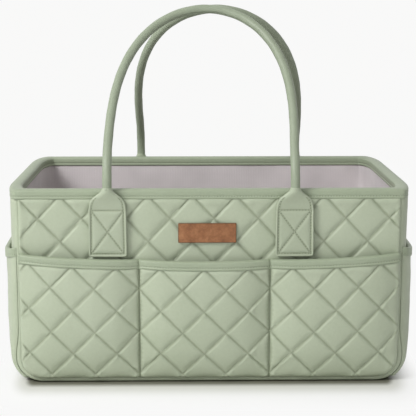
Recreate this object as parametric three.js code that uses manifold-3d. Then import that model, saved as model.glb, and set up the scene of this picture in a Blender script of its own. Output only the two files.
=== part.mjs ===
// Quilted leather caddy: an open tub with stiffened walls, pockets all round, two rolled
// carrying handles on sewn tabs, and a divider insert that lifts out.
// Millimetres. X runs along the length, the front faces -Y, Z is up, and the origin lies
// under the middle of the base.

import * as THREE from "three";
import { mergeVertices } from "three/addons/utils/BufferGeometryUtils.js";
import Module from "manifold-3d";

const wasm = await Module();
wasm.setup();

// Outer form of the tub
const panelLength = 352;
const depth = 240;
const height = 183;
const endBulge = 12;
const baseBulge = 4;
const cornerRadius = 20;
const endCornerRun = 50;
const baseCornerRun = 8;
const taperHeight = 60;

// Layers of a wall, from the outside in
const skinThickness = 4;
const boardThickness = 2.5;
const endBoardThickness = 1.8;
const liningThickness = 1.5;
const clearance = 0.3;
const liningSideCurve = 2;
const liningRunShare = 1.2;
const liningRiseShare = 1.5;

// Diamond quilting of the front and back
const quiltPitch = 40.5;
const quiltPuff = 2;
const panelQuiltX = -36.5;
const panelQuiltZ = 155.5;
const pocketQuiltX = 15.2;
const pocketQuiltZ = 91.4;
const quiltStepShare = 0.25;
const puffPowerShare = 0.7;

// Leather binding folded over the raw edges
const bindingThickness = 1.3;
const rimBindingDrop = 9.3;
const pocketBindingDrop = 8.7;

// Front and back pockets, three bays each
const pocketThickness = 3;
const pocketHeight = 123.8;
const pocketSag = 6.3;
const pocketBulge = 10;
const middleBayWidth = 120.8;
const middleBayShift = 4.7;

// Pockets on the two ends
const endPocketHeight = 128;
const endPocketThickness = 2.5;
const endPocketBulge = 4.8;
const endPocketRise = 45;
const endPocketEdge = 0.7;

// Rolled handles and the tabs that hold them
const rollDiameter = 8.6;
const rollWall = 1.6;
const handleRise = 159.4;
const armSpacing = 171.5;
const frontHandleShift = 7.8;
const backHandleShift = 13.4;
const handleLean = 6;
const neckRise = 2;
const neckBend = 45;
const archStart = 38.5;
const armShare = 0.12;
const archPowerShare = 2.8;
const tabWidth = 35.2;
const tabGap = 1.6;
const shoulderDrop = 19;
const tabThickness = 3;
const tabCorner = 2.5;

// Leather patch on the front
const labelWidth = 53.5;
const labelHeight = 18.3;
const labelThickness = 1.5;
const labelCorner = 2;
const labelRise = 18.6;
const labelShift = 2.3;

// Divider insert
const dividerSpacing = 110;
const dividerThickness = 8;
const dividerHeight = 122;
const middleDividerStep = 14;
const dividerCorner = 10;
const dividerEndGap = 0.6;

// Anything longer than every cut
const overrun = 20;

// Sizes that follow from those above
const panelHalf = panelLength / 2;
const faceHalf = depth / 2 - quiltPuff;
const gussetHalf = faceHalf - skinThickness - clearance;
const boardOffset = skinThickness + clearance;
const liningOffset = boardOffset + boardThickness + clearance;
const innerOffset = liningOffset + liningThickness;
const wallTop = height - bindingThickness - clearance;
const cornerX = panelHalf - cornerRadius;
const cornerZ = baseBulge + cornerRadius;
const rollRadius = rollDiameter / 2;
const outerLayer = quiltPuff + clearance;
const leftSeamX = -middleBayShift - middleBayWidth / 2;
const rightSeamX = -middleBayShift + middleBayWidth / 2;
const neckHeight = height + neckRise;
const middleDividerHeight = dividerHeight - middleDividerStep;

// A geometry from points and triangles, turned so that its faces point out.
function closedGeometry(points, triangles) {
  let volume = 0;
  for (const [a, b, c] of triangles) {
    volume += points[a].dot(new THREE.Vector3().crossVectors(points[b], points[c]));
  }
  const index = volume < 0 ? triangles.map(([a, b, c]) => [a, c, b]) : triangles;
  const geometry = new THREE.BufferGeometry();
  geometry.setAttribute(
    "position",
    new THREE.Float32BufferAttribute(points.flatMap((p) => [p.x, p.y, p.z]), 3),
  );
  geometry.setIndex(index.flat());
  return geometry;
}

// Triangles that fill a flat outline, wound the same way round as the outline.
function fillOutline(outline) {
  const turn = Math.sign(THREE.ShapeUtils.area(outline));
  return THREE.ShapeUtils.triangulateShape(outline, []).map(([a, b, c]) => {
    const area = THREE.ShapeUtils.area([outline[a], outline[b], outline[c]]);
    return Math.sign(area) === turn ? [a, b, c] : [a, c, b];
  });
}

// A solid through flat sections with the same number of points. place(point, i) puts a
// point of section i in space. A looped loft joins its last section to its first.
function loft(sections, place, looped = false) {
  const count = sections[0].length;
  const points = sections.flatMap((section, i) => section.map((p) => place(p, i)));
  const triangles = [];
  const spans = looped ? sections.length : sections.length - 1;
  for (let i = 0; i < spans; i++) {
    const next = (i + 1) % sections.length;
    for (let j = 0; j < count; j++) {
      const k = (j + 1) % count;
      const [a, b, c, d] = [i * count + j, i * count + k, next * count + k, next * count + j];
      triangles.push([a, b, c], [a, c, d]);
    }
  }
  if (!looped) {
    const end = (sections.length - 1) * count;
    triangles.push(...fillOutline(sections[0]).map(([a, b, c]) => [a, c, b]));
    triangles.push(...fillOutline(sections.at(-1)).map((face) => face.map((v) => end + v)));
  }
  return closedGeometry(points, triangles);
}

// Triangles of a grid of points. The diagonals join the even points of the quilting, so
// that its channels run along edges.
function gridTriangles(columns, rows, at) {
  const triangles = [];
  for (let i = 0; i + 1 < columns.length; i++) {
    for (let j = 0; j + 1 < rows.length; j++) {
      const [a, b, c, d] = [at(i, j), at(i + 1, j), at(i + 1, j + 1), at(i, j + 1)];
      if ((columns[i].order + rows[j].order) % 2 === 0) {
        triangles.push([a, b, c], [a, c, d]);
      } else {
        triangles.push([a, b, d], [b, c, d]);
      }
    }
  }
  return triangles;
}

// The points round the edge of a grid, in order.
function gridEdge(columns, rows, at) {
  const lastColumn = columns.length - 1;
  const lastRow = rows.length - 1;
  return [
    ...columns.slice(1).map((_, i) => at(i, 0)),
    ...rows.slice(1).map((_, j) => at(lastColumn, j)),
    ...columns.slice(1).map((_, i) => at(lastColumn - i, lastRow)),
    ...rows.slice(1).map((_, j) => at(0, lastRow - j)),
  ];
}

// A solid between two curved faces over the same grid.
function sheet(columns, rows, outer, inner) {
  const size = columns.length * rows.length;
  const at = (i, j) => i * rows.length + j;
  const points = [outer, inner].flatMap((face) =>
    columns.flatMap((column) => rows.map((row) => face(column.value, row.value))),
  );
  const faces = gridTriangles(columns, rows, at);
  const edge = gridEdge(columns, rows, at);
  const triangles = [...faces, ...faces.map(([a, b, c]) => [a + size, c + size, b + size])];
  edge.forEach((a, i) => {
    const b = edge[(i + 1) % edge.length];
    triangles.push([b, a, a + size], [b, a + size, b + size]);
  });
  return closedGeometry(points, triangles);
}

// A solid from one curved face back to a flat one, filled round its middle.
function slab(columns, rows, outer, flatten) {
  const at = (i, j) => i * rows.length + j;
  const points = columns.flatMap((column) => rows.map((row) => outer(column.value, row.value)));
  const edge = gridEdge(columns, rows, at);
  const start = points.length;
  points.push(...edge.map((v) => flatten(points[v])));
  const middle = points.length;
  const centre = new THREE.Box3().setFromPoints(points.slice(start)).getCenter(new THREE.Vector3());
  points.push(centre);
  const triangles = gridTriangles(columns, rows, at);
  edge.forEach((a, i) => {
    const n = (i + 1) % edge.length;
    triangles.push([edge[n], a, start + i], [edge[n], start + i, start + n]);
    triangles.push([start + n, start + i, middle]);
  });
  return closedGeometry(points, triangles);
}

function toSolid(geometry) {
  const bare = geometry.clone();
  bare.deleteAttribute("normal");
  bare.deleteAttribute("uv");
  const merged = mergeVertices(bare);
  const vertProperties = merged.attributes.position.array;
  const triVerts = new Uint32Array(merged.index.array);
  return new wasm.Manifold(new wasm.Mesh({ numProp: 3, vertProperties, triVerts }));
}

function toGeometry(solid) {
  const mesh = solid.getMesh();
  const geometry = new THREE.BufferGeometry();
  geometry.setAttribute("position", new THREE.BufferAttribute(mesh.vertProperties, 3));
  geometry.setIndex(new THREE.BufferAttribute(mesh.triVerts, 1));
  return geometry;
}

// A plate drawn in front view and lying between two distances in front of the middle.
function frontPlate(shape, near, far) {
  const geometry = new THREE.ExtrudeGeometry(shape, {
    depth: far - near,
    bevelEnabled: false,
    curveSegments: 6,
  });
  geometry.rotateX(Math.PI / 2);
  geometry.translate(0, -near, 0);
  return geometry;
}

// The seam line of the front and back, drawn in at every side by an offset, up to a top.
function panelShape(offset, top) {
  const half = panelHalf - offset;
  const radius = cornerRadius - offset;
  const shape = new THREE.Shape();
  shape.moveTo(half, top);
  shape.lineTo(-half, top);
  shape.lineTo(-half, cornerZ);
  shape.absarc(-cornerX, cornerZ, radius, Math.PI, 1.5 * Math.PI);
  shape.lineTo(cornerX, cornerZ - radius);
  shape.absarc(cornerX, cornerZ, radius, 1.5 * Math.PI, 2 * Math.PI);
  return shape;
}

// How far the quilting stands out at a point, from a crossing of its channels.
function quiltRelief(x, z, crossingX, crossingZ) {
  const rising = ((x - crossingX + (z - crossingZ)) / quiltPitch) * Math.PI;
  const falling = ((x - crossingX - (z - crossingZ)) / quiltPitch) * Math.PI;
  const puff = Math.abs(Math.sin(rising) * Math.sin(falling));
  return quiltPuff * puff ** puffPowerShare;
}

// Grid lines a quarter of a diamond apart between two ends, numbered from a crossing.
function quiltLines(from, to, crossing) {
  const step = quiltPitch * quiltStepShare;
  const first = Math.ceil((from - crossing) / step + quiltStepShare);
  const last = Math.floor((to - crossing) / step - quiltStepShare);
  const lines = [{ value: from, order: first - 1 }];
  for (let k = first; k <= last; k++) {
    lines.push({ value: crossing + k * step, order: k });
  }
  lines.push({ value: to, order: last + 1 });
  return lines.map((line) => ({ ...line, order: Math.abs(line.order) }));
}

// Outline of the tub from above, drawn in by one offset at the ends and one at the sides.
function planOutline(endOffset, sideOffset) {
  const corner = [0, 12, 26, 42, 58, 74, 90].map((degrees) => THREE.MathUtils.degToRad(degrees));
  const centreX = panelHalf - endOffset;
  const centreY = faceHalf - endCornerRun;
  const quarter = corner.map((angle) => new THREE.Vector2(
    centreX + endBulge * Math.cos(angle),
    centreY + (endCornerRun - sideOffset) * Math.sin(angle),
  ));
  const turned = [...quarter].reverse();
  return [
    ...quarter,
    ...turned.map((p) => new THREE.Vector2(-p.x, p.y)),
    ...quarter.map((p) => new THREE.Vector2(-p.x, -p.y)),
    ...turned.map((p) => new THREE.Vector2(p.x, -p.y)),
  ];
}

// The right half of the strip's course under the seam line: down the end, round the
// corner and in under the base, as a place, the way it faces and how full it is there.
function endCourse(z) {
  const taper = taperHeight - cornerZ + (cornerRadius * Math.PI) / 2;
  const ease = (run) => Math.cos((Math.min(run / taper, 1) * Math.PI) / 2) ** 2;
  return {
    x: panelHalf,
    z,
    angle: 0,
    fullness: ease(Math.max(taperHeight - z, 0)),
  };
}

function cornerCourse(angle) {
  const taper = taperHeight - cornerZ + (cornerRadius * Math.PI) / 2;
  const run = taperHeight - cornerZ + cornerRadius * angle;
  return {
    x: cornerX + cornerRadius * Math.cos(angle),
    z: cornerZ - cornerRadius * Math.sin(angle),
    angle,
    fullness: Math.cos(((run / taper) * Math.PI) / 2) ** 2,
  };
}

// How far the strip stands out from the seam line at a distance from the middle.
function stripBulge(y, fullness) {
  const bulge = THREE.MathUtils.lerp(baseBulge, endBulge, fullness);
  const run = THREE.MathUtils.lerp(baseCornerRun, endCornerRun, fullness);
  const past = Math.min(Math.max(Math.abs(y) - (gussetHalf - run), 0) / run, 1);
  return bulge * Math.sqrt(1 - past * past);
}

// Places across the strip: close together where its edge turns over.
function stripPlaces(fullness, half) {
  const run = THREE.MathUtils.lerp(baseCornerRun, endCornerRun, fullness);
  const flat = gussetHalf - run;
  const turns = [0, 25, 45, 62, 77].map((degrees) => Math.sin(THREE.MathUtils.degToRad(degrees)));
  const side = [...turns.map((share) => flat + (half - flat) * share), half];
  return [...[...side].reverse().map((y) => -y), ...side];
}

// A place in space: out from the course by a distance, at y.
function onCourse(course, y, out) {
  return new THREE.Vector3(
    course.x + out * Math.cos(course.angle),
    y,
    course.z - out * Math.sin(course.angle),
  );
}

const cornerAngles = [18, 36, 54, 72, 90].map((degrees) => THREE.MathUtils.degToRad(degrees));

// One strip makes both ends and the base of the tub.
function makeGusset() {
  const downEnd = [wallTop, taperHeight, (taperHeight + cornerZ) / 2, cornerZ].map(endCourse);
  const right = [...downEnd, ...cornerAngles.map(cornerCourse)];
  const left = [...right].reverse().map((course) => ({
    ...course,
    x: -course.x,
    angle: Math.PI - course.angle,
  }));
  const courses = [...right, ...left];
  const sections = courses.map(({ fullness }) => {
    const places = stripPlaces(fullness, gussetHalf);
    const outer = places.map((y) => new THREE.Vector2(y, stripBulge(y, fullness)));
    const inner = outer.map((p) => new THREE.Vector2(p.x, p.y - skinThickness));
    return [...outer, ...inner.reverse()];
  });
  return loft(sections, (p, i) => onCourse(courses[i], p.x, p.y));
}

// Quilted front wall, flat where the pocket covers it and where the rim is bound.
function makePanel() {
  const columns = quiltLines(-panelHalf, panelHalf, panelQuiltX);
  const quiltTop = height - rimBindingDrop - clearance;
  const upper = quiltLines(pocketHeight, quiltTop, panelQuiltZ);
  const rows = [
    { value: baseBulge, order: upper[0].order + 1 },
    ...upper,
    { value: wallTop, order: upper.at(-1).order + 1 },
  ];
  const face = (x, z) => {
    const plain = z <= pocketHeight || z >= quiltTop || Math.abs(x) >= panelHalf;
    const relief = plain ? 0 : quiltRelief(x, z, panelQuiltX, panelQuiltZ);
    return new THREE.Vector3(x, -faceHalf - relief, z);
  };
  const back = skinThickness - faceHalf;
  const quilted = slab(columns, rows, face, (p) => new THREE.Vector3(p.x, back, p.z));
  return trimToSeam(quilted);
}

// Cuts a front piece to the seam line with its rounded lower corners.
function trimToSeam(geometry) {
  const outline = frontPlate(
    panelShape(0, height + overrun),
    faceHalf - skinThickness - overrun,
    depth / 2 + pocketBulge + pocketThickness + overrun,
  );
  return toGeometry(toSolid(geometry).intersect(toSolid(outline)));
}

// Share of the full bulge that a pocket bay has at x, none at its seams.
function bayShare(x) {
  const seams = [-panelHalf, leftSeamX, rightSeamX, panelHalf];
  const bay = Math.max(seams.findLastIndex((seam) => seam <= x), 0);
  const [from, to] = [seams[bay], seams[bay + 1] ?? seams[bay]];
  if (to === from) return 0;
  const across = (2 * (x - from)) / (to - from) - 1;
  return 1 - Math.abs(across) ** 3;
}

const pocketTopAt = (x) => pocketHeight - pocketSag * (1 - (x / panelHalf) ** 2);

// Distance of a pocket's inner face from the wall. level runs from 0 at its bottom seam
// to 1 at its top edge, which the binding holds off the wall.
function pocketStandoff(x, level) {
  const heldOff = (bindingThickness + clearance) * level ** 4;
  const profile = (1 - (1 - level) ** 4) * (1 - level ** 3 / 4);
  return clearance + heldOff + pocketBulge * bayShare(x) * profile;
}

function makePocket() {
  const columns = quiltLines(-panelHalf, panelHalf, pocketQuiltX);
  const top = pocketHeight - clearance - bindingThickness;
  const bound = pocketHeight - pocketBindingDrop - clearance;
  const quilted = quiltLines(baseBulge, bound, pocketQuiltZ);
  const rows = [...quilted, { value: top, order: quilted.at(-1).order + 1 }];
  const levelOf = (z) => Math.min((z - baseBulge) / (bound - baseBulge), 1);
  const place = (x, z, out) => {
    const drop = (pocketHeight - pocketTopAt(x)) * levelOf(z);
    return new THREE.Vector3(x, -faceHalf - out, z - drop);
  };
  const inner = (x, z) => place(x, z, pocketStandoff(x, levelOf(z)));
  const outer = (x, z) => {
    const plain = z >= bound || z <= baseBulge || Math.abs(x) >= panelHalf;
    const relief = plain ? 0 : quiltRelief(x, z, pocketQuiltX, pocketQuiltZ);
    return place(x, z, pocketStandoff(x, levelOf(z)) + pocketThickness + relief);
  };
  return trimToSeam(sheet(columns, rows, outer, inner));
}

// An upside-down U over an edge: near and far are the edge's two faces, drop is the
// length of the outer leg. The first number of a point is a distance out, the second a
// height.
function bindingSection(near, far, top, drop) {
  const inside = near - clearance;
  const outside = far + clearance;
  const round = bindingThickness;
  return [
    new THREE.Vector2(outside, top - drop),
    new THREE.Vector2(outside + bindingThickness, top - drop),
    new THREE.Vector2(outside + bindingThickness, top - round),
    new THREE.Vector2(outside, top),
    new THREE.Vector2(inside, top),
    new THREE.Vector2(inside - bindingThickness, top - round),
    new THREE.Vector2(inside - bindingThickness, top - drop),
    new THREE.Vector2(inside, top - drop),
    new THREE.Vector2(inside, top - bindingThickness),
    new THREE.Vector2(outside, top - bindingThickness),
  ];
}

function makeRimBinding() {
  const section = bindingSection(-innerOffset, 0, height, rimBindingDrop);
  const rings = section.map((p) => planOutline(-p.x, -p.x));
  const stations = rings[0].map((_, i) => i);
  return loft(
    stations.map(() => section.map((_, j) => new THREE.Vector2(j, 0))),
    (p, i) => new THREE.Vector3(rings[p.x][i].x, rings[p.x][i].y, section[p.x].y),
    true,
  );
}

function makePocketBinding() {
  const columns = quiltLines(-panelHalf, panelHalf, pocketQuiltX).map((line) => line.value);
  const sections = columns.map((x) => {
    const near = pocketStandoff(x, 1);
    return bindingSection(near, near + pocketThickness, pocketTopAt(x), pocketBindingDrop);
  });
  return loft(sections, (p, i) => new THREE.Vector3(columns[i], -faceHalf - p.x, p.y));
}

// Distance of an end pocket's inner face from the strip that it is sewn to.
function endPocketStandoff(y, run) {
  const across = 1 - Math.abs(y / gussetHalf) ** 4;
  const rise = Math.min(run / endPocketRise, 1);
  return clearance + endPocketBulge * across * Math.sin((rise * Math.PI) / 2);
}

const endPocketHalf = gussetHalf - endPocketEdge;

function makeEndPocket() {
  const top = endPocketHeight - clearance - bindingThickness;
  const heights = [top, top - pocketBindingDrop, (top + taperHeight) / 2, taperHeight];
  const downEnd = [...heights, (taperHeight + cornerZ) / 2, cornerZ].map(endCourse);
  const courses = [...downEnd, ...cornerAngles.slice(0, -2).map(cornerCourse)];
  const arcEnd = cornerRadius * cornerAngles.at(-3);
  const runOf = ({ z, angle }) => (angle > 0 ? arcEnd - cornerRadius * angle : z - cornerZ + arcEnd);
  const sections = courses.map((course) => {
    const places = stripPlaces(course.fullness, endPocketHalf);
    const standoff = (y) => endPocketStandoff(y, runOf(course));
    const inner = places.map(
      (y) => new THREE.Vector2(y, stripBulge(y, course.fullness) + standoff(y)),
    );
    const outer = inner.map((p) => new THREE.Vector2(p.x, p.y + endPocketThickness));
    return [...outer, ...inner.reverse()];
  });
  return loft(sections, (p, i) => onCourse(courses[i], p.x, p.y));
}

function makeEndPocketBinding() {
  const course = endCourse(endPocketHeight);
  const places = stripPlaces(course.fullness, endPocketHalf);
  const sections = places.map((y) => {
    const near = stripBulge(y, course.fullness) + endPocketStandoff(y, endPocketRise);
    const far = near + endPocketThickness;
    return bindingSection(near, far, endPocketHeight, pocketBindingDrop).slice(0, 4).concat([
      new THREE.Vector2(near, endPocketHeight),
      new THREE.Vector2(near, endPocketHeight - bindingThickness),
      new THREE.Vector2(far + clearance, endPocketHeight - bindingThickness),
    ]);
  });
  return loft(sections, (p, i) => new THREE.Vector3(panelHalf + p.x, places[i], p.y));
}

// Fabric tub inside the boards, with rounded lower edges.
function makeLining() {
  const turns = [0, 30, 60, 90].map((degrees) => THREE.MathUtils.degToRad(degrees));
  const floor = liningOffset;
  const levels = (offset, base) => turns.map((angle) => ({
    z: base + cornerRadius * liningRiseShare * (1 - Math.cos(angle)),
    end: offset + cornerRadius * liningRunShare * (1 - Math.sin(angle)),
    side: offset + liningSideCurve * (1 - Math.sin(angle)),
  }));
  const outer = levels(liningOffset, floor);
  const inner = levels(innerOffset, floor + liningThickness);
  const rings = [
    ...outer,
    { ...outer.at(-1), z: wallTop },
    { ...inner.at(-1), z: wallTop },
    ...inner.reverse(),
  ];
  const sections = rings.map((ring) => planOutline(ring.end, ring.side));
  return loft(sections, (p, i) => new THREE.Vector3(p.x, p.y, rings[i].z));
}

function makeFrontBoard() {
  const shape = panelShape(skinThickness + clearance, wallTop - boardThickness);
  return frontPlate(shape, gussetHalf - boardThickness, gussetHalf);
}

// Board behind an end wall, bent to the wall's bulge.
function makeEndBoard() {
  const half = gussetHalf - boardThickness - boardOffset;
  const places = stripPlaces(1, half);
  const outer = places.map(
    (y) => new THREE.Vector2(panelHalf + stripBulge(y, 1) - boardOffset, y),
  );
  const inner = outer.map((p) => new THREE.Vector2(p.x - endBoardThickness, p.y));
  const section = [...outer, ...inner.reverse()];
  const levels = [taperHeight, wallTop - boardThickness];
  return loft([section, section], (p, i) => new THREE.Vector3(p.x, p.y, levels[i]));
}

function makeBaseBoard() {
  const width = 2 * cornerX;
  const flat = 2 * (gussetHalf - baseCornerRun);
  const board = new THREE.BoxGeometry(width, flat, boardThickness);
  board.translate(0, 0, boardOffset + boardThickness / 2);
  return board;
}

// Twelve points round a flat bar with rounded corners, which is round when its width and
// thickness are the same.
function barSection(width, thickness, corner) {
  const radius = Math.min(corner, thickness / 2);
  const angles = [15, 45, 75].map((degrees) => THREE.MathUtils.degToRad(degrees));
  return [0, 1, 2, 3].flatMap((quarter) => angles.map((angle) => {
    const turn = angle + (quarter * Math.PI) / 2;
    const sideX = quarter === 0 || quarter === 3 ? 1 : -1;
    const sideY = quarter < 2 ? 1 : -1;
    return new THREE.Vector2(
      sideX * (width / 2 - radius) + radius * Math.cos(turn),
      sideY * (thickness / 2 - radius) + radius * Math.sin(turn),
    );
  }));
}

// Tab sewn to the wall under an arm of a handle that stands shifted sideways. Its shoulders
// draw in to a round neck as thick as the roll.
function makeTab(side, shift) {
  const x = (side * armSpacing) / 2 - shift;
  const neckTop = neckHeight - clearance / 2;
  const tabBottom = pocketTopAt(armSpacing / 2 + shift) + tabGap;
  const tabShoulder = height - shoulderDrop;
  const rise = neckTop - tabShoulder;
  const shoulderShares = [
    [0, 0.978, 0],
    [0.3, 0.935, 0.14],
    [0.49, 0.835, 0.38],
    [0.69, 0.54, 0.7],
    [0.82, 0.33, 0.92],
    [1, 0, 1],
  ];
  const levels = [
    { z: tabBottom, width: tabWidth - tabCorner, thickness: tabThickness },
    { z: tabBottom + tabCorner / 2, width: tabWidth - tabCorner / 4, thickness: tabThickness },
    { z: tabBottom + tabCorner, width: tabWidth, thickness: tabThickness },
    ...shoulderShares.map(([up, wide, round]) => ({
      z: tabShoulder + rise * up,
      width: Math.max(tabWidth * wide, rollDiameter),
      thickness: THREE.MathUtils.lerp(tabThickness, rollDiameter, round),
    })),
  ];
  const sections = levels.map(({ width, thickness }) => barSection(width, thickness, rollRadius));
  return loft(sections, (p, i) => new THREE.Vector3(
    x + p.x,
    -faceHalf - outerLayer - levels[i].thickness / 2 - p.y,
    levels[i].z,
  ));
}

// Centre line of a handle. In side view it rises from the neck, bends in over the tub and
// runs straight to the middle, where it meets the other handle. In its own plane it is an
// arch between two upright arms, whose top leans sideways.
class HandleCurve extends THREE.Curve {
  constructor(shift) {
    super();
    this.shift = shift;
    this.neckY = -faceHalf - outerLayer - rollRadius;
    this.base = neckHeight + clearance / 2;
    const inward = -this.neckY - rollRadius - clearance / 2 - neckBend;
    this.straight = Math.sqrt(handleRise ** 2 + inward ** 2 - neckBend ** 2);
    this.lean = Math.atan2(inward, handleRise) + Math.atan2(neckBend, this.straight);
    this.bendLength = neckBend * this.lean;
  }

  // Side view: y and z at a length along the handle from its neck.
  onSide(run) {
    const angle = Math.min(run / neckBend, this.lean);
    const past = Math.max(run - this.bendLength, 0);
    return [
      this.neckY + neckBend * (1 - Math.cos(angle)) + past * Math.sin(angle),
      this.base + neckBend * Math.sin(angle) + past * Math.cos(angle),
    ];
  }

  getPoint(t, target = new THREE.Vector3()) {
    const side = t < 0.5 ? -1 : 1;
    const along = 2 * Math.min(t, 1 - t);
    const arch = this.bendLength + this.straight - archStart;
    const upright = Math.min(along / armShare, 1);
    const turn = (Math.max(along - armShare, 0) / (1 - armShare)) * (Math.PI / 2);
    const risen = Math.sin(turn) ** (2 / archPowerShare);
    const [y, z] = this.onSide(archStart * upright + arch * risen);
    const x = (side * Math.cos(turn) * armSpacing) / 2 + handleLean * risen - this.shift;
    return target.set(x, y, z);
  }
}

const handleSteps = 32;

function circleShape(radius, sides) {
  const corners = Array.from({ length: sides }, (_, i) => ((i + 0.5) * 2 * Math.PI) / sides);
  return new THREE.Shape(corners.map(
    (angle) => new THREE.Vector2(radius * Math.cos(angle), radius * Math.sin(angle)),
  ));
}

// Leather rolled round a rope core and open at both ends.
function makeHandleCover(shift) {
  const shape = circleShape(rollRadius, 12);
  shape.holes.push(circleShape(rollRadius - rollWall, 8));
  return new THREE.ExtrudeGeometry(shape, { steps: handleSteps, extrudePath: new HandleCurve(shift) });
}

function makeHandleCore(shift) {
  const shape = circleShape(rollRadius - rollWall - clearance, 8);
  return new THREE.ExtrudeGeometry(shape, { steps: handleSteps, extrudePath: new HandleCurve(shift) });
}

function roundedRectangle(width, tall, corner) {
  const [x, z] = [width / 2 - corner, tall / 2 - corner];
  const shape = new THREE.Shape();
  shape.absarc(x, z, corner, 0, Math.PI / 2);
  shape.absarc(-x, z, corner, Math.PI / 2, Math.PI);
  shape.absarc(-x, -z, corner, Math.PI, 1.5 * Math.PI);
  shape.absarc(x, -z, corner, 1.5 * Math.PI, 2 * Math.PI);
  return shape;
}

function makeLabel() {
  const near = faceHalf + outerLayer;
  const plate = frontPlate(
    roundedRectangle(labelWidth, labelHeight, labelCorner),
    near,
    near + labelThickness,
  );
  plate.translate(-labelShift, 0, pocketHeight + labelRise);
  return plate;
}

// Floor of the tub, where the insert stands, and its half width, which passes the rim.
const floorZ = liningOffset + liningThickness + clearance;
const dividerHalf = faceHalf - innerOffset - clearance - bindingThickness - dividerEndGap;

// A cross wall of the insert, seen from the end: square above, rounded below.
function makeCrossDivider() {
  const top = dividerHeight - bindingThickness - clearance;
  const shape = new THREE.Shape();
  shape.moveTo(dividerHalf, top);
  shape.lineTo(-dividerHalf, top);
  shape.lineTo(-dividerHalf, dividerCorner);
  shape.absarc(-dividerHalf + dividerCorner, dividerCorner, dividerCorner, Math.PI, 1.5 * Math.PI);
  shape.absarc(dividerHalf - dividerCorner, dividerCorner, dividerCorner, 1.5 * Math.PI, 2 * Math.PI);
  const wall = new THREE.ExtrudeGeometry(shape, {
    depth: dividerThickness,
    bevelEnabled: false,
    curveSegments: 4,
  });
  wall.rotateX(Math.PI / 2);
  wall.rotateZ(Math.PI / 2);
  wall.translate(-dividerThickness / 2, 0, floorZ);
  return wall;
}

function makeMiddleDivider() {
  const length = dividerSpacing - dividerThickness - 2 * clearance;
  const tall = middleDividerHeight - bindingThickness - clearance;
  const wall = new THREE.BoxGeometry(length, dividerThickness, tall);
  wall.translate(0, 0, floorZ + tall / 2);
  return wall;
}

// Binding along the top of a divider that runs along Y.
function makeDividerBinding(length, top) {
  const half = dividerThickness / 2;
  const section = bindingSection(-half, half, floorZ + top, pocketBindingDrop);
  const ends = [-length / 2, length / 2];
  return loft([section, section], (p, i) => new THREE.Vector3(p.x, ends[i], p.y));
}

// Materials, by what the pieces are made of
const leather = new THREE.MeshStandardMaterial({ color: 0xb4c0a6, roughness: 0.55 });
const edging = new THREE.MeshStandardMaterial({ color: 0xa6b397, roughness: 0.55 });
const liningCloth = new THREE.MeshStandardMaterial({ color: 0xa59b97, roughness: 0.9 });
const board = new THREE.MeshStandardMaterial({ color: 0xdad6cc, roughness: 0.8 });
const rope = new THREE.MeshStandardMaterial({ color: 0xe6e0d2, roughness: 0.95 });
const tan = new THREE.MeshStandardMaterial({ color: 0xa9673f, roughness: 0.6 });
const felt = new THREE.MeshStandardMaterial({ color: 0xa9a19c, roughness: 0.95 });

function piece(name, geometry, material) {
  const mesh = new THREE.Mesh(geometry, material);
  mesh.name = name;
  return mesh;
}

const caddy = new THREE.Group();
const halfTurn = new THREE.Group();
halfTurn.rotation.z = Math.PI;
caddy.add(halfTurn);

caddy.add(
  piece("gusset", makeGusset(), leather),
  piece("base_board", makeBaseBoard(), board),
  piece("lining", makeLining(), liningCloth),
  piece("rim_binding", makeRimBinding(), edging),
  piece("label", makeLabel(), tan),
);

// The back half is the front half turned round, apart from the patch and the handles' offsets,
// and the left end is the right one turned round.
for (const [group, front, end, shift, sides] of [
  [caddy, "front", "right", frontHandleShift, { left: -1, right: 1 }],
  [halfTurn, "back", "left", backHandleShift, { right: -1, left: 1 }],
]) {
  group.add(
    piece(`${front}_panel`, makePanel(), leather),
    piece(`${front}_board`, makeFrontBoard(), board),
    piece(`${front}_pocket`, makePocket(), leather),
    piece(`${front}_pocket_binding`, makePocketBinding(), edging),
    piece(`${end}_board`, makeEndBoard(), board),
    piece(`${end}_pocket`, makeEndPocket(), leather),
    piece(`${end}_pocket_binding`, makeEndPocketBinding(), edging),
    piece(`${front}_handle_cover`, makeHandleCover(shift), leather),
    piece(`${front}_handle_core`, makeHandleCore(shift), rope),
  );
  for (const [name, side] of Object.entries(sides)) {
    group.add(piece(`${front}_${name}_tab`, makeTab(side, shift), leather));
  }
}

for (const [name, side] of [["left", -1], ["right", 1]]) {
  const wall = piece(`${name}_divider`, makeCrossDivider(), felt);
  const cap = piece(`${name}_divider_binding`, makeDividerBinding(2 * dividerHalf, dividerHeight), edging);
  for (const mesh of [wall, cap]) {
    mesh.position.x = (side * dividerSpacing) / 2;
    caddy.add(mesh);
  }
}

const middle = piece("middle_divider", makeMiddleDivider(), felt);
const middleLength = dividerSpacing - dividerThickness - 2 * clearance;
const middleCap = piece(
  "middle_divider_binding",
  makeDividerBinding(middleLength, middleDividerHeight),
  edging,
);
middleCap.rotation.z = Math.PI / 2;
caddy.add(middle, middleCap);

export default caddy;
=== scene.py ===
"""Diaper caddy in sage artificial leather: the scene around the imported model, in metres."""
import math

import bmesh
import bpy
import numpy as np
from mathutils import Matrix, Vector, noise
from mathutils.bvhtree import BVHTree


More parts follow.
